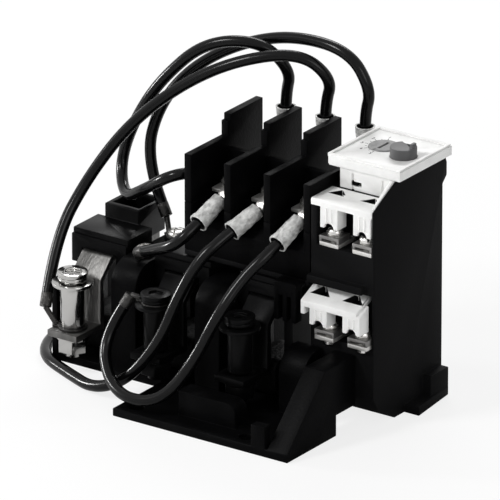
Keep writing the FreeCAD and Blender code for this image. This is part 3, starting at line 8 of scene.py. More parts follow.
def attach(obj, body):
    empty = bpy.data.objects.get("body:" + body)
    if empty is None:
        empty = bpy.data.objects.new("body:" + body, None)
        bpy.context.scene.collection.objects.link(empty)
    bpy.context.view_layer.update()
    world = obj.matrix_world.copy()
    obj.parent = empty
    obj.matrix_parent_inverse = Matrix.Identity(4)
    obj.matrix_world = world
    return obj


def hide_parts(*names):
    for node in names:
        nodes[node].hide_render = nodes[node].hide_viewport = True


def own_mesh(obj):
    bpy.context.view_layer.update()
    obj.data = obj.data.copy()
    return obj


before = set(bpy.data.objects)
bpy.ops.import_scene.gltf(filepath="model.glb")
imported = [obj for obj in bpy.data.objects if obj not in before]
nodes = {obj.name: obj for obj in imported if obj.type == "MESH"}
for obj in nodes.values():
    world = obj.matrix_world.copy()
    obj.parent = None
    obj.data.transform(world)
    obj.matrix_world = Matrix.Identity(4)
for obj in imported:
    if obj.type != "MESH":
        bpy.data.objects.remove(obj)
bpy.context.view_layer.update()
scene = bpy.context.scene


# ---------------------------------------------------------------- studio
# A pale floor in a plain white surround. The main lamp stands high in front, a little to
# the left, and a low one at the far left draws streaks along the leads. One more grazes the
# top edges from behind and a weak one fills the right-hand side.
scene.view_settings.view_transform = "Standard"
middle = Vector((0.0083, 0.0, 0.0563))
round_from_front = math.radians(35)
above_level = math.radians(22)
camera_far = 4
toward_camera = Vector((math.sin(round_from_front) * math.cos(above_level),
                        -math.cos(round_from_front) * math.cos(above_level),
                        math.sin(above_level)))
camera_data = bpy.data.cameras.new("camera")
camera_data.lens = 800
camera_data.sensor_width = 36
camera = bpy.data.objects.new("camera", camera_data)
camera.location = middle + toward_camera * camera_far
camera.rotation_euler = toward_camera.to_track_quat("Z", "Y").to_euler()
scene.collection.objects.link(camera)
scene.camera = camera


def lamp(name, place, size, power):
    """A rectangular lamp that faces the middle of the object."""
    data = bpy.data.lights.new(name, "AREA")
    data.shape = "RECTANGLE"
    data.size, data.size_y = size
    data.energy = power
    light = bpy.data.objects.new(name, data)
    light.location = place
    light.rotation_euler = (Vector(place) - middle).to_track_quat("Z", "Y").to_euler()
    scene.collection.objects.link(light)


lamp("broad lamp", (-0.42, -0.72, 0.8), (0.22, 0.22), 6.5)
lamp("low lamp", (-1.14, -0.31, 0.27), (0.16, 0.16), 8.0)
lamp("edge lamp", (-0.35, 0.7, 0.75), (0.6, 0.15), 4.5)
lamp("fill lamp", (0.8, -0.45, 0.4), (0.4, 0.4), 1.6)

surround = bpy.data.worlds.new("surround")
scene.world = surround
surround.use_nodes = True
join = surround.node_tree.links.new
background = surround.node_tree.nodes["Background"]
background.inputs["Color"].default_value = (1, 1, 1, 1)
rays = surround.node_tree.nodes.new("ShaderNodeLightPath")
seen = surround.node_tree.nodes.new("ShaderNodeMath")
seen.operation = "MAXIMUM"
join(rays.outputs["Is Camera Ray"], seen.inputs[0])
join(rays.outputs["Is Transmission Ray"], seen.inputs[1])
gloss = surround.node_tree.nodes.new("ShaderNodeMath")
gloss.operation = "MAXIMUM"
join(seen.outputs[0], gloss.inputs[0])
join(rays.outputs["Is Glossy Ray"], gloss.inputs[1])
level = surround.node_tree.nodes.new("ShaderNodeMapRange")
level.inputs["To Min"].default_value = 0.3
level.inputs["To Max"].default_value = 1.0
join(gloss.outputs[0], level.inputs["Value"])
join(level.outputs[0], background.inputs["Strength"])

reach = 6.0
floor_mesh = bpy.data.meshes.new("floor")
floor_mesh.from_pydata([(-reach, -reach, 0), (reach, -reach, 0), (reach, reach, 0),
                        (-reach, reach, 0)], [], [(0, 1, 2, 3)])
floor = bpy.data.objects.new("floor", floor_mesh)
scene.collection.objects.link(floor)
floor_paint = bpy.data.materials.new("floor paint")
floor_paint.use_nodes = True
tree = floor_paint.node_tree
matt = tree.nodes["Principled BSDF"]
matt.inputs["Base Color"].default_value = (0.93, 0.93, 0.93, 1)
matt.inputs["Roughness"].default_value = 0.9
matt.inputs["Specular IOR Level"].default_value = 0.1
glow = tree.nodes.new("ShaderNodeEmission")
both = tree.nodes.new("ShaderNodeMixShader")
rays = tree.nodes.new("ShaderNodeLightPath")
share = tree.nodes.new("ShaderNodeMath")
share.operation = "MULTIPLY"
share.inputs[1].default_value = 0.8
tree.links.new(rays.outputs["Is Camera Ray"], share.inputs[0])
tree.links.new(share.outputs[0], both.inputs[0])
tree.links.new(matt.outputs[0], both.inputs[1])
tree.links.new(glow.outputs[0], both.inputs[2])
tree.links.new(both.outputs[0], tree.nodes["Material Output"].inputs["Surface"])
floor_mesh.materials.append(floor_paint)


# ---------------------------------------------------------------- jumper leads
# Six stranded copper conductors in glossy black insulation, 4.3 mm over all. Each is
# crimped into a lug at both ends and keeps the springy curve it was bent to by hand.
lead_width = 0.0043
routes = {
    "lead_rear_1": [(-0.0077, 0.0455, 0.0885), (-0.0077, 0.0455, 0.0985),
        (-0.004, 0.0435, 0.109), (-0.0121, 0.0363, 0.121), (-0.0324, 0.0302, 0.1184),
        (-0.0485, 0.0255, 0.102), (-0.059, 0.0235, 0.085), (-0.067, 0.025, 0.066),
        (-0.057, 0.0135, 0.057), (-0.043, 0.0075, 0.066), (-0.03, 0.005, 0.075),
        (-0.023, 0.014, 0.075), (-0.0225, 0.028, 0.066), (-0.0223, 0.033, 0.052)],
    "lead_rear_2": [(0.0097, 0.0455, 0.0885), (0.0097, 0.0455, 0.0985), (0.0138, 0.044, 0.1095),
        (0.004, 0.038, 0.1195), (-0.017, 0.029, 0.115), (-0.037, 0.022, 0.1035),
        (-0.055, 0.014, 0.0865), (-0.067, 0.005, 0.066), (-0.0715, -0.009, 0.046),
        (-0.0675, -0.02, 0.0285)],
    "lead_rear_3": [(0.0271, 0.0455, 0.0885), (0.0271, 0.0455, 0.0985), (0.0308, 0.044, 0.109),
        (0.022, 0.043, 0.1225), (-0.0025, 0.0443, 0.1228), (-0.0236, 0.0413, 0.1166),
        (-0.042, 0.036, 0.105), (-0.0535, 0.0305, 0.089), (-0.056, 0.0255, 0.069),
        (-0.0465, 0.0225, 0.0545)],
    "lead_front_1": [(-0.0092, -0.0017, 0.0671), (-0.0107, -0.0104, 0.0624),
        (-0.0155, -0.0138, 0.057), (-0.024, -0.0115, 0.053), (-0.0325, -0.0082, 0.049)],
    "lead_front_2": [(0.0063, -0.0017, 0.0671), (0.00313, -0.01005, 0.06259),
        (-0.002, -0.017, 0.056), (-0.007, -0.024, 0.042), (-0.0105, -0.029, 0.027),
        (-0.022, -0.0328, 0.01), (-0.037, -0.0335, 0.0026), (-0.054, -0.026, 0.0023),
        (-0.071, -0.018, 0.0023), (-0.0795, -0.003, 0.0023), (-0.08, 0.014, 0.0026),
        (-0.077, 0.0265, 0.0056), (-0.07, 0.034, 0.006)],
    "lead_front_3": [(0.0256, -0.0017, 0.0671), (0.0241, -0.0104, 0.0624),
        (0.018, -0.018, 0.054), (0.0135, -0.028, 0.0415), (0.007, -0.033, 0.024),
        (-0.0005, -0.042, 0.01), (-0.0147, -0.044, 0.0072), (-0.0281, -0.0377, 0.0103),
        (-0.0368, -0.028, 0.021), (-0.0312, -0.023, 0.033)],
}


def finish(name, colour, rough, metal=0.0, shine=0.5, grain=0.05, grain_size=0.0006,
           mottle=0.12, mottle_size=0.012, stretch=(1, 1, 1), lines=None):
    """A shop finish: a colour that drifts a little, fine grain, and lines where asked.

    lines is (axis, spacing, depth) of grooves such as lamination joints or tape turns.
    """
    material = bpy.data.materials.new(name)
    material.use_nodes = True
    made = material.node_tree.nodes
    join = material.node_tree.links.new
    surface = made["Principled BSDF"]
    surface.inputs["Metallic"].default_value = metal
    surface.inputs["Specular IOR Level"].default_value = shine
    place = made.new("ShaderNodeTexCoord")
    turned = made.new("ShaderNodeMapping")
    turned.inputs["Scale"].default_value = stretch
    join(place.outputs["Object"], turned.inputs["Vector"])
    drift = made.new("ShaderNodeTexNoise")
    drift.inputs["Scale"].default_value = 1 / mottle_size
    drift.inputs["Detail"].default_value = 4
    join(turned.outputs[0], drift.inputs["Vector"])
    ramp = made.new("ShaderNodeValToRGB")
    ramp.color_ramp.elements[0].position = 0.3
    ramp.color_ramp.elements[1].position = 0.7
    for stop, amount in zip(ramp.color_ramp.elements, (1 - mottle, 1 + mottle)):
        stop.color = (*[min(1, part * amount) for part in colour], 1)
    join(drift.outputs["Fac"], ramp.inputs["Fac"])
    join(ramp.outputs["Color"], surface.inputs["Base Color"])
    spread = made.new("ShaderNodeMapRange")
    spread.inputs["To Min"].default_value = rough * 0.85
    spread.inputs["To Max"].default_value = min(1, rough * 1.2)
    join(drift.outputs["Fac"], spread.inputs["Value"])
    join(spread.outputs[0], surface.inputs["Roughness"])
    fine = made.new("ShaderNodeTexNoise")
    fine.inputs["Scale"].default_value = 1 / grain_size
    fine.inputs["Detail"].default_value = 2
    join(turned.outputs[0], fine.inputs["Vector"])
    relief = made.new("ShaderNodeBump")
    relief.inputs["Strength"].default_value = grain
    relief.inputs["Distance"].default_value = grain_size
    join(fine.outputs["Fac"], relief.inputs["Height"])
    last = relief
    if lines:
        axis, spacing, depth = lines
        bands = made.new("ShaderNodeTexWave")
        bands.bands_direction = axis
        bands.inputs["Scale"].default_value = 2 * math.pi / (20 * spacing)
        bands.inputs["Distortion"].default_value = 0.4
        join(place.outputs["Object"], bands.inputs["Vector"])
        last = made.new("ShaderNodeBump")
        last.inputs["Strength"].default_value = 0.8
        last.inputs["Distance"].default_value = depth
        join(bands.outputs["Fac"], last.inputs["Height"])
        join(relief.outputs["Normal"], last.inputs["Normal"])
    join(last.outputs["Normal"], surface.inputs["Normal"])
    return material


insulation = finish("black insulation", (0.002, 0.002, 0.0022), 0.2, shine=0.16, grain=0.01,
                    grain_size=0.004, mottle=0.2)

for name, route in routes.items():
    line = bpy.data.curves.new(name + "_insulation", "CURVE")
    line.dimensions = "3D"
    line.bevel_depth = lead_width / 2
    line.bevel_resolution = 6
    line.resolution_u = 16
    line.use_fill_caps = True
    spline = line.splines.new("NURBS")
    spline.points.add(len(route) - 1)
    for point, place in zip(spline.points, route):
        point.co = (*place, 1)
    spline.order_u = 3
    spline.use_endpoint_u = True
    line.materials.append(insulation)
    lead = bpy.data.objects.new(name + "_insulation", line)
    scene.collection.objects.link(lead)
    bare = line.copy()
    bare.bevel_depth = 0
    centre_line = bpy.data.objects.new("centre line", bare)
    path = [vertex.co for vertex in bpy.data.meshes.new_from_object(centre_line).vertices]
    bpy.data.objects.remove(centre_line)
    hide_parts(name)
    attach(lead, "frame")


# ---------------------------------------------------------------- moulded base
# One black thermoset moulding: floor, front foot, rounded partitions between the primary
# terminals and a sloping cheek. It is pressed in a mould, so every edge is slightly round.
weld = 2e-6
flat_within = math.radians(0.6)
edge_from = math.radians(40)
crease_from = math.radians(42)


def merged_copy(name, wells=None):
    """The named solid's mesh, cut by the wells where given, with its flats made single faces."""
    mesh = nodes[name].data.copy()
    shape = bmesh.new()
    shape.from_mesh(mesh)
    bmesh.ops.remove_doubles(shape, verts=shape.verts, dist=weld)
    if wells:
        shape.to_mesh(mesh)
        shape.free()
        whole = bpy.data.objects.new("whole", mesh)
        scene.collection.objects.link(whole)
        cut = whole.modifiers.new("wells", "BOOLEAN")
        cut.object = wells
        cut.solver = "EXACT"
        bpy.context.view_layer.update()
        mesh = bpy.data.meshes.new_from_object(
            whole.evaluated_get(bpy.context.evaluated_depsgraph_get()))
        bpy.data.objects.remove(whole)
        shape = bmesh.new()
        shape.from_mesh(mesh)
    bmesh.ops.dissolve_limit(shape, angle_limit=flat_within, use_dissolve_boundaries=False,
                             verts=shape.verts, edges=shape.edges)
    for face in shape.faces:
        face.smooth = True
    shape.to_mesh(mesh)
    shape.free()
    for layer in ("custom_normal", "sharp_edge"):
        if layer in mesh.attributes:
            mesh.attributes.remove(mesh.attributes[layer])
    return mesh


def dress(piece, name, body="frame"):
    """Hides the solid that the finished piece stands in for and puts the piece on its body."""
    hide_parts(name)
    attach(piece, body)


def edged(name, rounding, paint, kind="moulded", body="frame", wells=None):
    """A finished copy of a solid with its sharp edges rounded and its curves shaded."""
    mesh = merged_copy(name, wells)
    mesh.materials.clear()
    mesh.materials.append(paint)
    sharp = bpy.data.objects.new("sharp copy", mesh)
    scene.collection.objects.link(sharp)
    bevel = sharp.modifiers.new("rounding", "BEVEL")
    bevel.width = rounding
    bevel.segments = 2
    bevel.limit_method = "ANGLE"
    bevel.angle_limit = edge_from
    bevel.use_clamp_overlap = False
    bpy.context.view_layer.update()
    made = bpy.data.meshes.new_from_object(
        sharp.evaluated_get(bpy.context.evaluated_depsgraph_get()))
    bpy.data.objects.remove(sharp)
    made.set_sharp_from_angle(angle=crease_from)
    piece = bpy.data.objects.new(name + "_" + kind, made)
    scene.collection.objects.link(piece)
    dress(piece, name, body)
    return piece


base_black = finish("black thermoset", (0.0017, 0.0017, 0.0019), 0.42, shine=0.03, grain=0.12,
                    grain_size=0.0008, mottle=0.3)
edged("base_frame", 0.0004, base_black)
edged("side_guard", 0.0002, base_black)


# ---------------------------------------------------------------- transformers
# Three small current transformers: a stack of varnished laminations, a taped secondary
# round the lower yoke and a black cap clipped over the upper one.
core_steel = finish("varnished laminations", (0.008, 0.008, 0.0085), 0.4, metal=0.5, shine=0.2,
                    grain=0.1, lines=("Y", 0.0005, 0.0001))
tape = finish("black winding tape", (0.003, 0.003, 0.0033), 0.5, shine=0.08, grain=0.3,
              grain_size=0.0012, lines=("X", 0.004, 0.00015))
cap_black = finish("black cap moulding", (0.002, 0.002, 0.0022), 0.34, shine=0.06, grain=0.05)
for count in (1, 2, 3):
    edged("ct_core_%d" % count, 0.0002, core_steel, "laminated")
    edged("ct_coil_%d" % count, 0.0003, tape, "taped")
    edged("ct_cover_%d" % count, 0.0004, cap_black, "cap")


# ---------------------------------------------------------------- primary bars and bolts
# Copper straps, 13 mm wide, run through the cores, slope down and end in a tab. A socket
# bolt clamps the cable lug on a sleeve. The left set is bright; the other two are painted
# near black as painted shade, where little light reaches them.
strap = finish("dull tinned strap", (0.13, 0.128, 0.124), 0.4, metal=1.0, grain=0.25,
               grain_size=0.0012, mottle=0.3, mottle_size=0.005, stretch=(1, 0.3, 0.3))
polished = finish("polished steel", (0.4, 0.395, 0.385), 0.14, metal=1.0, grain=0.04,
                  mottle=0.12)
# Near-black steel: painted shade on the two right-hand straps and their hardware.
painted_shade_steel = finish("steel with painted shade", (0.003, 0.003, 0.0032), 0.3, metal=0.4, shine=0.08,
                   grain=0.08, mottle=0.3)
# Hardware to the right of this x takes the painted shade.
painted_shade_from = -0.045
edged("primary_bar_1", 0.00025, strap, "strap")
for count in (2, 3):
    edged("primary_bar_%d" % count, 0.00025, painted_shade_steel, "strap")
for name, kind in (("primary_bolts", "turned"), ("primary_nuts", "turned"),
                   ("primary_washers", "stamped"), ("clamp_sleeves", "turned"),
                   ("rear_bolts", "turned")):
    hardware = edged(name, 0.00025, polished, kind)
    hardware.data.materials.append(painted_shade_steel)
    # Faces to the right of the limit get the painted shade.
    for face in hardware.data.polygons:
        face.material_index = int(face.center.x > painted_shade_from)


# ---------------------------------------------------------------- pole block
# The relay's power terminals: a black block with a sloping chute in front of each pole and
# four barrier plates pushed into its grooves, which keep the poles apart.
pole_black = finish("black pole block moulding", (0.0017, 0.0017, 0.0019), 0.4, shine=0.03,
                    grain=0.1, grain_size=0.0008, mottle=0.25)
plate_metal = finish("nickelled plate", (0.62, 0.61, 0.59), 0.42, metal=0.85, grain=0.1)
edged("pole_block", 0.0003, pole_black)
edged("phase_barriers", 0.0003, pole_black)
for row in ("front", "rear"):
    edged(row + "_pole_plates", 0.0002, plate_metal, "stamped")


# ---------------------------------------------------------------- terminal screws
# Nickelled steel screws with a low pan head and a slotted cross recess. They are rolled
# and plated in bulk, and each was stopped at its own angle when it was tightened.
nickel = finish("bright nickel", (0.66, 0.65, 0.63), 0.26, metal=0.9, grain=0.05, mottle=0.1)
pole_head = 0.0037
aux_head = 0.0031
head_height = 0.0026
shank_radius = 0.002
recess_width = 0.0009
widest_turn = 6.28
screw_crease = math.radians(38)


def solid_boxes(name):
    """Lowest and highest corner of each separate solid of a node, from left to right."""
    shape = bmesh.new()
    shape.from_mesh(nodes[name].data)
    bmesh.ops.remove_doubles(shape, verts=shape.verts, dist=weld)
    left = set(shape.verts)
    boxes = []
    while left:
        heap = [left.pop()]
        places = []
        while heap:
            vertex = heap.pop()
            places.append(vertex.co.copy())
            for edge in vertex.link_edges:
                other = edge.other_vert(vertex)
                if other in left:
                    left.remove(other)
                    heap.append(other)
        boxes.append((Vector([min(p[axis] for p in places) for axis in range(3)]),
                      Vector([max(p[axis] for p in places) for axis in range(3)])))
    shape.free()
    return sorted(boxes, key=lambda box: [round(place, 3) for place in box[0]])


def turned_profile(label, profile, steps=28):
    """A round piece about Z from (radius, height) points, the last ones on the axis."""
    shape = bmesh.new()
    rings = []
    for radius, height in profile:
        if radius == 0:
            rings.append([shape.verts.new((0, 0, height))])
            continue
        rings.append([shape.verts.new((radius * math.cos(2 * math.pi * step / steps),
                                       radius * math.sin(2 * math.pi * step / steps), height))
                      for step in range(steps)])
    for lower, upper in zip(rings, rings[1:]):
        for step in range(steps):
            after = (step + 1) % steps
            corners = [lower[step % len(lower)], lower[after % len(lower)],
                       upper[after % len(upper)], upper[step % len(upper)]]
            corners = [c for place, c in enumerate(corners) if c not in corners[:place]]
            shape.faces.new(corners)
    bmesh.ops.recalc_face_normals(shape, faces=shape.faces)
    mesh = bpy.data.meshes.new(label)
    shape.to_mesh(mesh)
    shape.free()
    return mesh


def screw_mesh(head, high, shank, deep, recess):
    """A screw along Z, its head standing on z = 0 with a slotted cross recess."""
    body = bpy.data.objects.new("screw body", turned_profile("screw", [
        (0, -deep), (shank, -deep), (shank, 0), (head * 0.96, 0), (head, high * 0.12),
        (head, high * 0.5), (head * 0.9, high * 0.8), (head * 0.7, high * 0.95),
        (head * 0.4, high), (0, high)]))
    scene.collection.objects.link(body)
    for wide, long in ((recess, head * 2.2), (head * 1.15, recess)):
        tool_mesh = bpy.data.meshes.new("driver recess")
        shape = bmesh.new()
        bmesh.ops.create_cube(shape, size=1, matrix=Matrix.Translation((0, 0, high * 0.85))
                              @ Matrix.Diagonal((wide, long, high * 0.9, 1)))
        shape.to_mesh(tool_mesh)
        shape.free()
        tool = bpy.data.objects.new("driver recess", tool_mesh)
        scene.collection.objects.link(tool)
        cutter = body.modifiers.new("recess", "BOOLEAN")
        cutter.object = tool
        cutter.solver = "EXACT"
    bpy.context.view_layer.update()
    mesh = bpy.data.meshes.new_from_object(
        body.evaluated_get(bpy.context.evaluated_depsgraph_get()))
    for modifier in list(body.modifiers):
        bpy.data.objects.remove(modifier.object)
    bpy.data.objects.remove(body)
    return mesh


def scatter_tree(label):
    """Places one object on every point, each turned about Z by its own random angle."""
    tree = bpy.data.node_groups.new(label, "GeometryNodeTree")
    tree.interface.new_socket("Points", in_out="INPUT", socket_type="NodeSocketGeometry")
    tree.interface.new_socket("Piece", in_out="INPUT", socket_type="NodeSocketObject")
    tree.interface.new_socket("Widest turn", in_out="INPUT", socket_type="NodeSocketFloat")
    tree.interface.new_socket("Finish", in_out="INPUT", socket_type="NodeSocketMaterial")
    tree.interface.new_socket("Pieces", in_out="OUTPUT", socket_type="NodeSocketGeometry")
    entry = tree.nodes.new("NodeGroupInput")
    leave = tree.nodes.new("NodeGroupOutput")
    piece = tree.nodes.new("GeometryNodeObjectInfo")
    angle = tree.nodes.new("FunctionNodeRandomValue")
    angle.data_type = "FLOAT"
    angle.inputs["Seed"].default_value = 7
    turn = tree.nodes.new("ShaderNodeCombineXYZ")
    place = tree.nodes.new("GeometryNodeInstanceOnPoints")
    real = tree.nodes.new("GeometryNodeRealizeInstances")
    paint = tree.nodes.new("GeometryNodeSetMaterial")
    link = tree.links.new
    link(entry.outputs["Piece"], piece.inputs["Object"])
    link(entry.outputs["Widest turn"], angle.inputs[3])
    link(angle.outputs[1], turn.inputs["Z"])
    link(entry.outputs["Points"], place.inputs["Points"])
    link(piece.outputs["Geometry"], place.inputs["Instance"])
    link(turn.outputs[0], place.inputs["Rotation"])
    link(place.outputs[0], real.inputs[0])
    link(real.outputs[0], paint.inputs["Geometry"])
    link(entry.outputs["Finish"], paint.inputs["Material"])
    link(paint.outputs[0], leave.inputs[0])
    return tree


scatter = scatter_tree("set out and turn")


def set_out(label, places, piece_mesh, paint):
    """One mesh with a copy of the piece at every place."""
    piece = bpy.data.objects.new("one piece", piece_mesh)
    scene.collection.objects.link(piece)
    points = bpy.data.meshes.new(label)
    points.from_pydata(places, [], [])
    row = bpy.data.objects.new(label, points)
    scene.collection.objects.link(row)
    nodes_modifier = row.modifiers.new("set out", "NODES")
    nodes_modifier.node_group = scatter
    values = {"Piece": piece, "Widest turn": widest_turn, "Finish": paint}
    for socket in scatter.interface.items_tree:
        if socket.name in values:
            nodes_modifier[socket.identifier] = values[socket.name]
    bpy.context.view_layer.update()
    mesh = bpy.data.meshes.new_from_object(
        row.evaluated_get(bpy.context.evaluated_depsgraph_get()))
    bpy.data.objects.remove(row)
    bpy.data.objects.remove(piece)
    for face in mesh.polygons:
        face.use_smooth = True
    mesh.set_sharp_from_angle(angle=screw_crease)
    made = bpy.data.objects.new(label, mesh)
    scene.collection.objects.link(made)
    return made


def screw_row(name, head):
    """All the screws of a node, each with its head at the top of its solid."""
    boxes = solid_boxes(name)
    deep = boxes[0][1].z - head_height - boxes[0][0].z
    places = [((low.x + top.x) / 2, (low.y + top.y) / 2, top.z - head_height)
              for low, top in boxes]
    screw = screw_mesh(head, head_height, shank_radius, deep, recess_width)
    row = set_out(name + "_driven", places, screw, nickel)
    dress(row, name)


for name, head in (("front_pole_screws", pole_head), ("rear_pole_screws", pole_head),
                   ("end_screws", pole_head), ("aux_screws", aux_head)):
    screw_row(name, head)


# ---------------------------------------------------------------- lugs and sleeves
# Tinned ring lugs crimped on the leads. On the relay's side a milky sleeve is pushed over
# each crimp; it has shrunk unevenly and its cut end stands a little open round the lead.
# Inside its mouth the sleeve is painted dark: painted shade round the lead.
lug_tin = finish("tinned lug", (0.6, 0.59, 0.57), 0.36, metal=0.9, grain=0.25,
                 grain_size=0.0014, mottle=0.25, mottle_size=0.004)
# The end lugs are given a dark grey.
lug_grey = finish("dark grey lug", (0.035, 0.034, 0.033), 0.4, metal=0.9, grain=0.25,
                  grain_size=0.0014, mottle=0.3, mottle_size=0.004)
for name, paint in (("front_lugs", lug_tin), ("rear_lugs", lug_tin), ("end_lugs", lug_grey)):
    edged(name, 0.00015, paint, "crimped")

milky = finish("milky sleeve", (0.6, 0.6, 0.59), 0.28, shine=0.5, grain=0.5,
               grain_size=0.0014, mottle=0.35, mottle_size=0.0016, stretch=(1, 0.5, 1))
# Painted shade for the inside of the sleeve's mouth, not a colour of the sleeve.
shade_inside_sleeve = finish("painted shade inside the sleeve", (0.02, 0.02, 0.02), 0.4, shine=0.2)
sleeve_from = -0.0071
sleeve_to = 0.0054
sleeve_wall = 0.0006
sleeve_radius = 0.00295
sleeve_taper = 0.00045
mouth_flare = 0.0003
mouth_lip = 0.0001
inside_reach = 0.006
inside_taper = 0.0005
inside_least = 0.0024
crumple_depth = 0.00007
outer_rings = 13
sleeve_crease = math.radians(50)


def sleeve_skin(shape, start, along, steps=36):
    """Outer skin from the lug to the flared mouth, over the rim and back inside, where the faces
    are painted dark as painted shade.
    """
    side = along.cross(Vector((1, 0, 0)) if abs(along.x) < 0.9 else Vector((0, 1, 0)))
    side.normalize()
    up = along.cross(side)
    stations = []
    for count in range(outer_rings):
        share = count / (outer_rings - 1)
        radius = (sleeve_radius + sleeve_taper * share ** 0.7
                  + mouth_flare * max(0, share - 0.8) / 0.2)
        stations.append((sleeve_from + (sleeve_to - sleeve_from) * share, radius, 1))
    mouth = stations[-1][1]
    stations.append((sleeve_to + mouth_lip, mouth - sleeve_wall / 2, 0.5))
    for share in (1.0, 0.85, 0.6, 0.3):
        stations.append((sleeve_to - inside_reach * (1 - share),
                         max(inside_least, mouth - sleeve_wall - inside_taper * (1 - share)), 0.3))
    rings = []
    for far, radius, crumple in stations:
        ring = []
        for step in range(steps):
            angle = 2 * math.pi * step / steps
            bump = crumple_depth * crumple * (math.sin(5 * angle + far * 900)
                                              + math.sin(3 * angle - far * 1700))
            place = start + along * far + (side * math.cos(angle) + up * math.sin(angle)) * (
                radius + bump)
            ring.append(shape.verts.new(place))
        rings.append(ring)
    for count, (lower, upper) in enumerate(zip(rings, rings[1:])):
        for step in range(steps):
            after = (step + 1) % steps
            skin = shape.faces.new((lower[step], lower[after], upper[after], upper[step]))
            # Faces inside the mouth take the painted shade.
            skin.material_index = int(count > outer_rings)
    shape.faces.new(rings[0])
    shape.faces.new(rings[-1]).material_index = 1


for row in ("front", "rear"):
    shape = bmesh.new()
    for count in (1, 2, 3):
        route = [Vector(point) for point in routes["lead_%s_%d" % (row, count)]]
        sleeve_skin(shape, route[0], (route[1] - route[0]).normalized())
    bmesh.ops.recalc_face_normals(shape, faces=shape.faces)
    for face in shape.faces:
        face.smooth = True
    mesh = bpy.data.meshes.new(row + "_sleeves_shrunk")
    shape.to_mesh(mesh)
    shape.free()
    mesh.materials.append(milky)
    mesh.materials.append(shade_inside_sleeve)
    mesh.set_sharp_from_angle(angle=sleeve_crease)
    sleeves = bpy.data.objects.new(row + "_sleeves_shrunk", mesh)
    scene.collection.objects.link(sleeves)
    dress(sleeves, row + "_sleeves")


# ---------------------------------------------------------------- relay housing
# The tall black housing with its plain right-hand side, sloped shoulder and side foot.
# It holds the trip mechanism and carries the white terminal shrouds on its front.
housing_black = finish("black relay housing", (0.005, 0.005, 0.0053), 0.5, shine=0.03,
                       grain=0.1, grain_size=0.0007, mottle=0.1, mottle_size=0.03)
edged("relay_housing", 0.0004, housing_black)


# ---------------------------------------------------------------- auxiliary terminals
# White nylon shrouds shield four saddle clamps; each has a channel leg in front of its
# screw and an opening for the screwdriver. The walls of each opening are painted black,
# partly for the black housing seen below and partly as painted shade. The clamps are
# nickelled steel.
shroud_white = finish("white shroud nylon", (0.84, 0.84, 0.83), 0.42, shine=0.4, grain=0.08,
                      mottle=0.05, mottle_size=0.006)
well_housing_and_shade = finish("black well, housing and painted shade", (0.003, 0.003, 0.003), 0.6, shine=0.05)


def block(shape, low, high, turn=None, paint=0):
    """A box between two corners, moved and turned where asked."""
    centre = (Vector(low) + Vector(high)) / 2
    wide = Vector(high) - Vector(low)
    place = Matrix.Translation(centre) @ Matrix.Diagonal((*wide, 1))
    if turn is not None:
        place = turn @ place
    made = bmesh.ops.create_cube(shape, size=1, matrix=place)
    for face in {face for vertex in made["verts"] for face in vertex.link_faces}:
        face.material_index = paint


well_corners = ((-0.0037, -0.0006), (0.0037, -0.0006), (-0.0004, 0.0034))
well_depth = 0.006
well_clear = 0.002
# A face is in a well, and is painted black for the housing below and as painted shade, if
# its centre lies within these of the well's place and the top.
black_across = 0.0036
black_back = (-0.0004, 0.0033)
black_below = (0.0008, 0.0062)


def sunk_wells(name, places):
    """The shroud with a deep three-cornered screwdriver well at every place, its walls painted
    black for the housing below and as painted shade.
    """
    shape = bmesh.new()
    for x, y, top in places:
        rings = [[shape.verts.new((x + across, y + back, height))
                  for across, back in well_corners]
                 for height in (top - well_depth, top + well_clear)]
        shape.faces.new(rings[0])
        shape.faces.new(rings[1])
        for step in range(3):
            after = (step + 1) % 3
            shape.faces.new((rings[0][step], rings[0][after], rings[1][after], rings[1][step]))
    bmesh.ops.recalc_face_normals(shape, faces=shape.faces)
    mesh = bpy.data.meshes.new("wells")
    shape.to_mesh(mesh)
    shape.free()
    wells = bpy.data.objects.new("wells", mesh)
    scene.collection.objects.link(wells)
    piece = edged(name, 0.0002, shroud_white, wells=wells)
    # The wells' faces take the black: the housing below and painted shade.
    piece.data.materials.append(well_housing_and_shade)
    for face in piece.data.polygons:
        for x, y, top in places:
            beside = abs(face.center.x - x) < black_across
            behind = black_back[0] < face.center.y - y < black_back[1]
            below = top - black_below[1] < face.center.z < top - black_below[0]
            if beside and behind and below:
                face.material_index = 1
    bpy.data.objects.remove(wells)
    return piece


rib_offset = 0.0011
rib_half = 0.0003
rib_proud = 0.0003
rib_sunk = 0.0002


def ribbed_legs(piece, front, centres, height):
    """Two fine upright ribs on the front of every leg."""
    shape = bmesh.new()
    shape.from_mesh(piece.data)
    for centre in centres:
        for across in (centre - rib_offset, centre + rib_offset):
            block(shape, (across - rib_half, front - rib_proud, height[0]),
                  (across + rib_half, front + rib_sunk, height[1]))
    shape.to_mesh(piece.data)
    shape.free()


leg_centres = sorted({round((low.x + top.x) / 2, 4) for low, top in solid_boxes("aux_screws")})
upper_front = -0.0018
upper_ribs = (0.0757, 0.0809)
lower_front = -0.0077
lower_ribs = (0.0399, 0.0435)
lower_shift = 0.0005
upper = sunk_wells("upper_shroud", [(0.0417, 0.0062, 0.0837), (0.0557, 0.0062, 0.0837)])
ribbed_legs(upper, upper_front, leg_centres, upper_ribs)
lower = sunk_wells("lower_shroud", [(0.0412, -0.0030, 0.0500), (0.0552, -0.0030, 0.0500)])
ribbed_legs(lower, lower_front, [centre - lower_shift for centre in leg_centres], lower_ribs)
edged("aux_plates", 0.00015, plate_metal, "stamped")
# The saddles are darkened as painted shade in the hollow of each clamp.
saddle_painted_shade = finish("saddle with painted shade", (0.24, 0.235, 0.23), 0.4, metal=0.9, grain=0.15,
                      mottle=0.3)
edged("aux_saddles", 0.00015, saddle_painted_shade, "stamped")


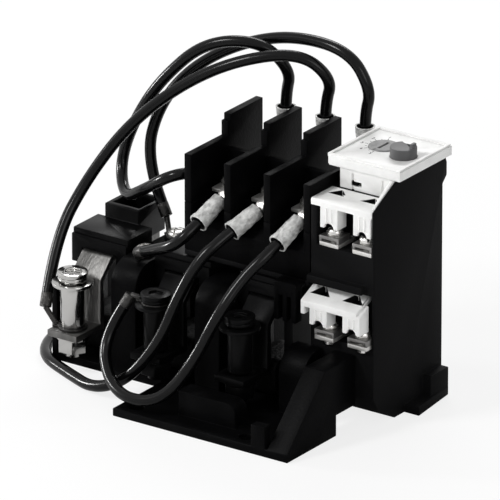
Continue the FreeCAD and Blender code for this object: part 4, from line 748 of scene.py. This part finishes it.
# ---------------------------------------------------------------- setting cover and dials
# A white cover snaps over the top. It frames the flat current dial, which is turned with
# a screwdriver, and the round grey knob that resets the relay.
dial_grey = finish("grey dial", (0.25, 0.25, 0.25), 0.5, shine=0.3, grain=0.12, mottle=0.2,
                   mottle_size=0.002)
knob_grey = finish("dark grey knob", (0.09, 0.09, 0.092), 0.45, shine=0.3, grain=0.1,
                   mottle=0.12)
print_grey = finish("printed scale", (0.03, 0.03, 0.03), 0.6, shine=0.2)
cover = edged("setting_cover", 0.0003, shroud_white)
cover.data.materials.append(print_grey)

# The shell is the leftmost of the cover's solids.
low, top = solid_boxes("setting_cover")[0]
lid = top.z
shape = bmesh.new()
shape.from_mesh(cover.data)
rim = 0.0011
inset = 0.0004
rim_sunk = 0.0005
rim_high = 0.0007
outer = ((low.x + inset, low.y + inset), (top.x - inset, top.y - inset))
for start, end in (((outer[0][0], outer[0][1]), (outer[1][0], outer[0][1] + rim)),
                   ((outer[0][0], outer[1][1] - rim), (outer[1][0], outer[1][1])),
                   ((outer[0][0], outer[0][1] + rim), (outer[0][0] + rim, outer[1][1] - rim)),
                   ((outer[1][0] - rim, outer[0][1] + rim), (outer[1][0], outer[1][1] - rim))):
    block(shape, (*start, lid - rim_sunk), (*end, lid + rim_high))
dial_low, dial_top = solid_boxes("setting_dial")[0]
dial_centre = Vector(((dial_low.x + dial_top.x) / 2, (dial_low.y + dial_top.y) / 2, 0))
first_mark = 110
mark_step = 20
mark_ring = 0.0061
mark_half = 0.00012
long_mark = 0.0012
short_mark = 0.0007
print_sunk = 0.0001
print_high = 0.00004
digit_ring = 0.0085
for count in range(9):
    turn = Matrix.Translation(dial_centre) @ Matrix.Rotation(
        math.radians(first_mark + mark_step * count), 4, "Z")
    long = long_mark if count % 2 == 0 else short_mark
    block(shape, (mark_ring, -mark_half, lid - print_sunk),
          (mark_ring + long, mark_half, lid + print_high), turn, 1)
for count, digit in enumerate("12345"):
    writing = bpy.data.curves.new("digit", "FONT")
    writing.body = digit
    writing.size = 0.0021
    writing.extrude = print_high
    writing.align_x = "CENTER"
    writing.align_y = "CENTER"
    angle = math.radians(first_mark + 2 * mark_step * count)
    sign = bpy.data.objects.new("digit", writing)
    numeral = bpy.data.meshes.new_from_object(sign)
    numeral.transform(Matrix.Translation(dial_centre + Vector((
        digit_ring * math.cos(angle), digit_ring * math.sin(angle), lid))))
    bpy.data.objects.remove(sign)
    before = len(shape.faces)
    shape.from_mesh(numeral)
    shape.faces.ensure_lookup_table()
    for face in shape.faces[before:]:
        face.material_index = 1
shape.to_mesh(cover.data)
shape.free()
edged("setting_dial", 0.0002, dial_grey, body="dial")
edged("reset_knob", 0.0003, knob_grey, body="reset")


# ---------------------------------------------------------------- trip mechanism
# Inside the housing: heater windings on the bimetal strips, a nylon push bar, the trip
# lever on its pin and the contact carrier with its bridges.
nylon = finish("natural nylon", (0.55, 0.53, 0.46), 0.45, shine=0.4, grain=0.05)
spring_steel = finish("spring wire", (0.45, 0.45, 0.45), 0.25, metal=1.0, grain=0.02)
bimetal = finish("bimetal strip", (0.6, 0.5, 0.34), 0.3, metal=1.0, grain=0.05)
heater = finish("heater strip", (0.45, 0.3, 0.2), 0.35, metal=1.0, grain=0.2,
                lines=("Z", 0.0012, 0.0002))
contact = finish("contact brass", (0.7, 0.52, 0.22), 0.25, metal=1.0, grain=0.05)
for paint, names in (
        (nylon, ("setting_frame", "setting_cam", "reset_hub", "push_bar", "trip_lever",
                 "contact_carrier", "carrier_guide")),
        (cap_black, ("test_slider",)),
        (spring_steel, ("lever_pin",)),
        (bimetal, ("bimetal_strips",)),
        (heater, ("heater_windings",)),
        (contact, ("contact_bridges", "fixed_contacts"))):
    for name in names:
        nodes[name].data.materials.clear()
        nodes[name].data.materials.append(paint)

low, top = solid_boxes("reset_spring")[0]
spring = edged("reset_spring", 0.00003, spring_steel, "coiled", "selector")
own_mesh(spring)
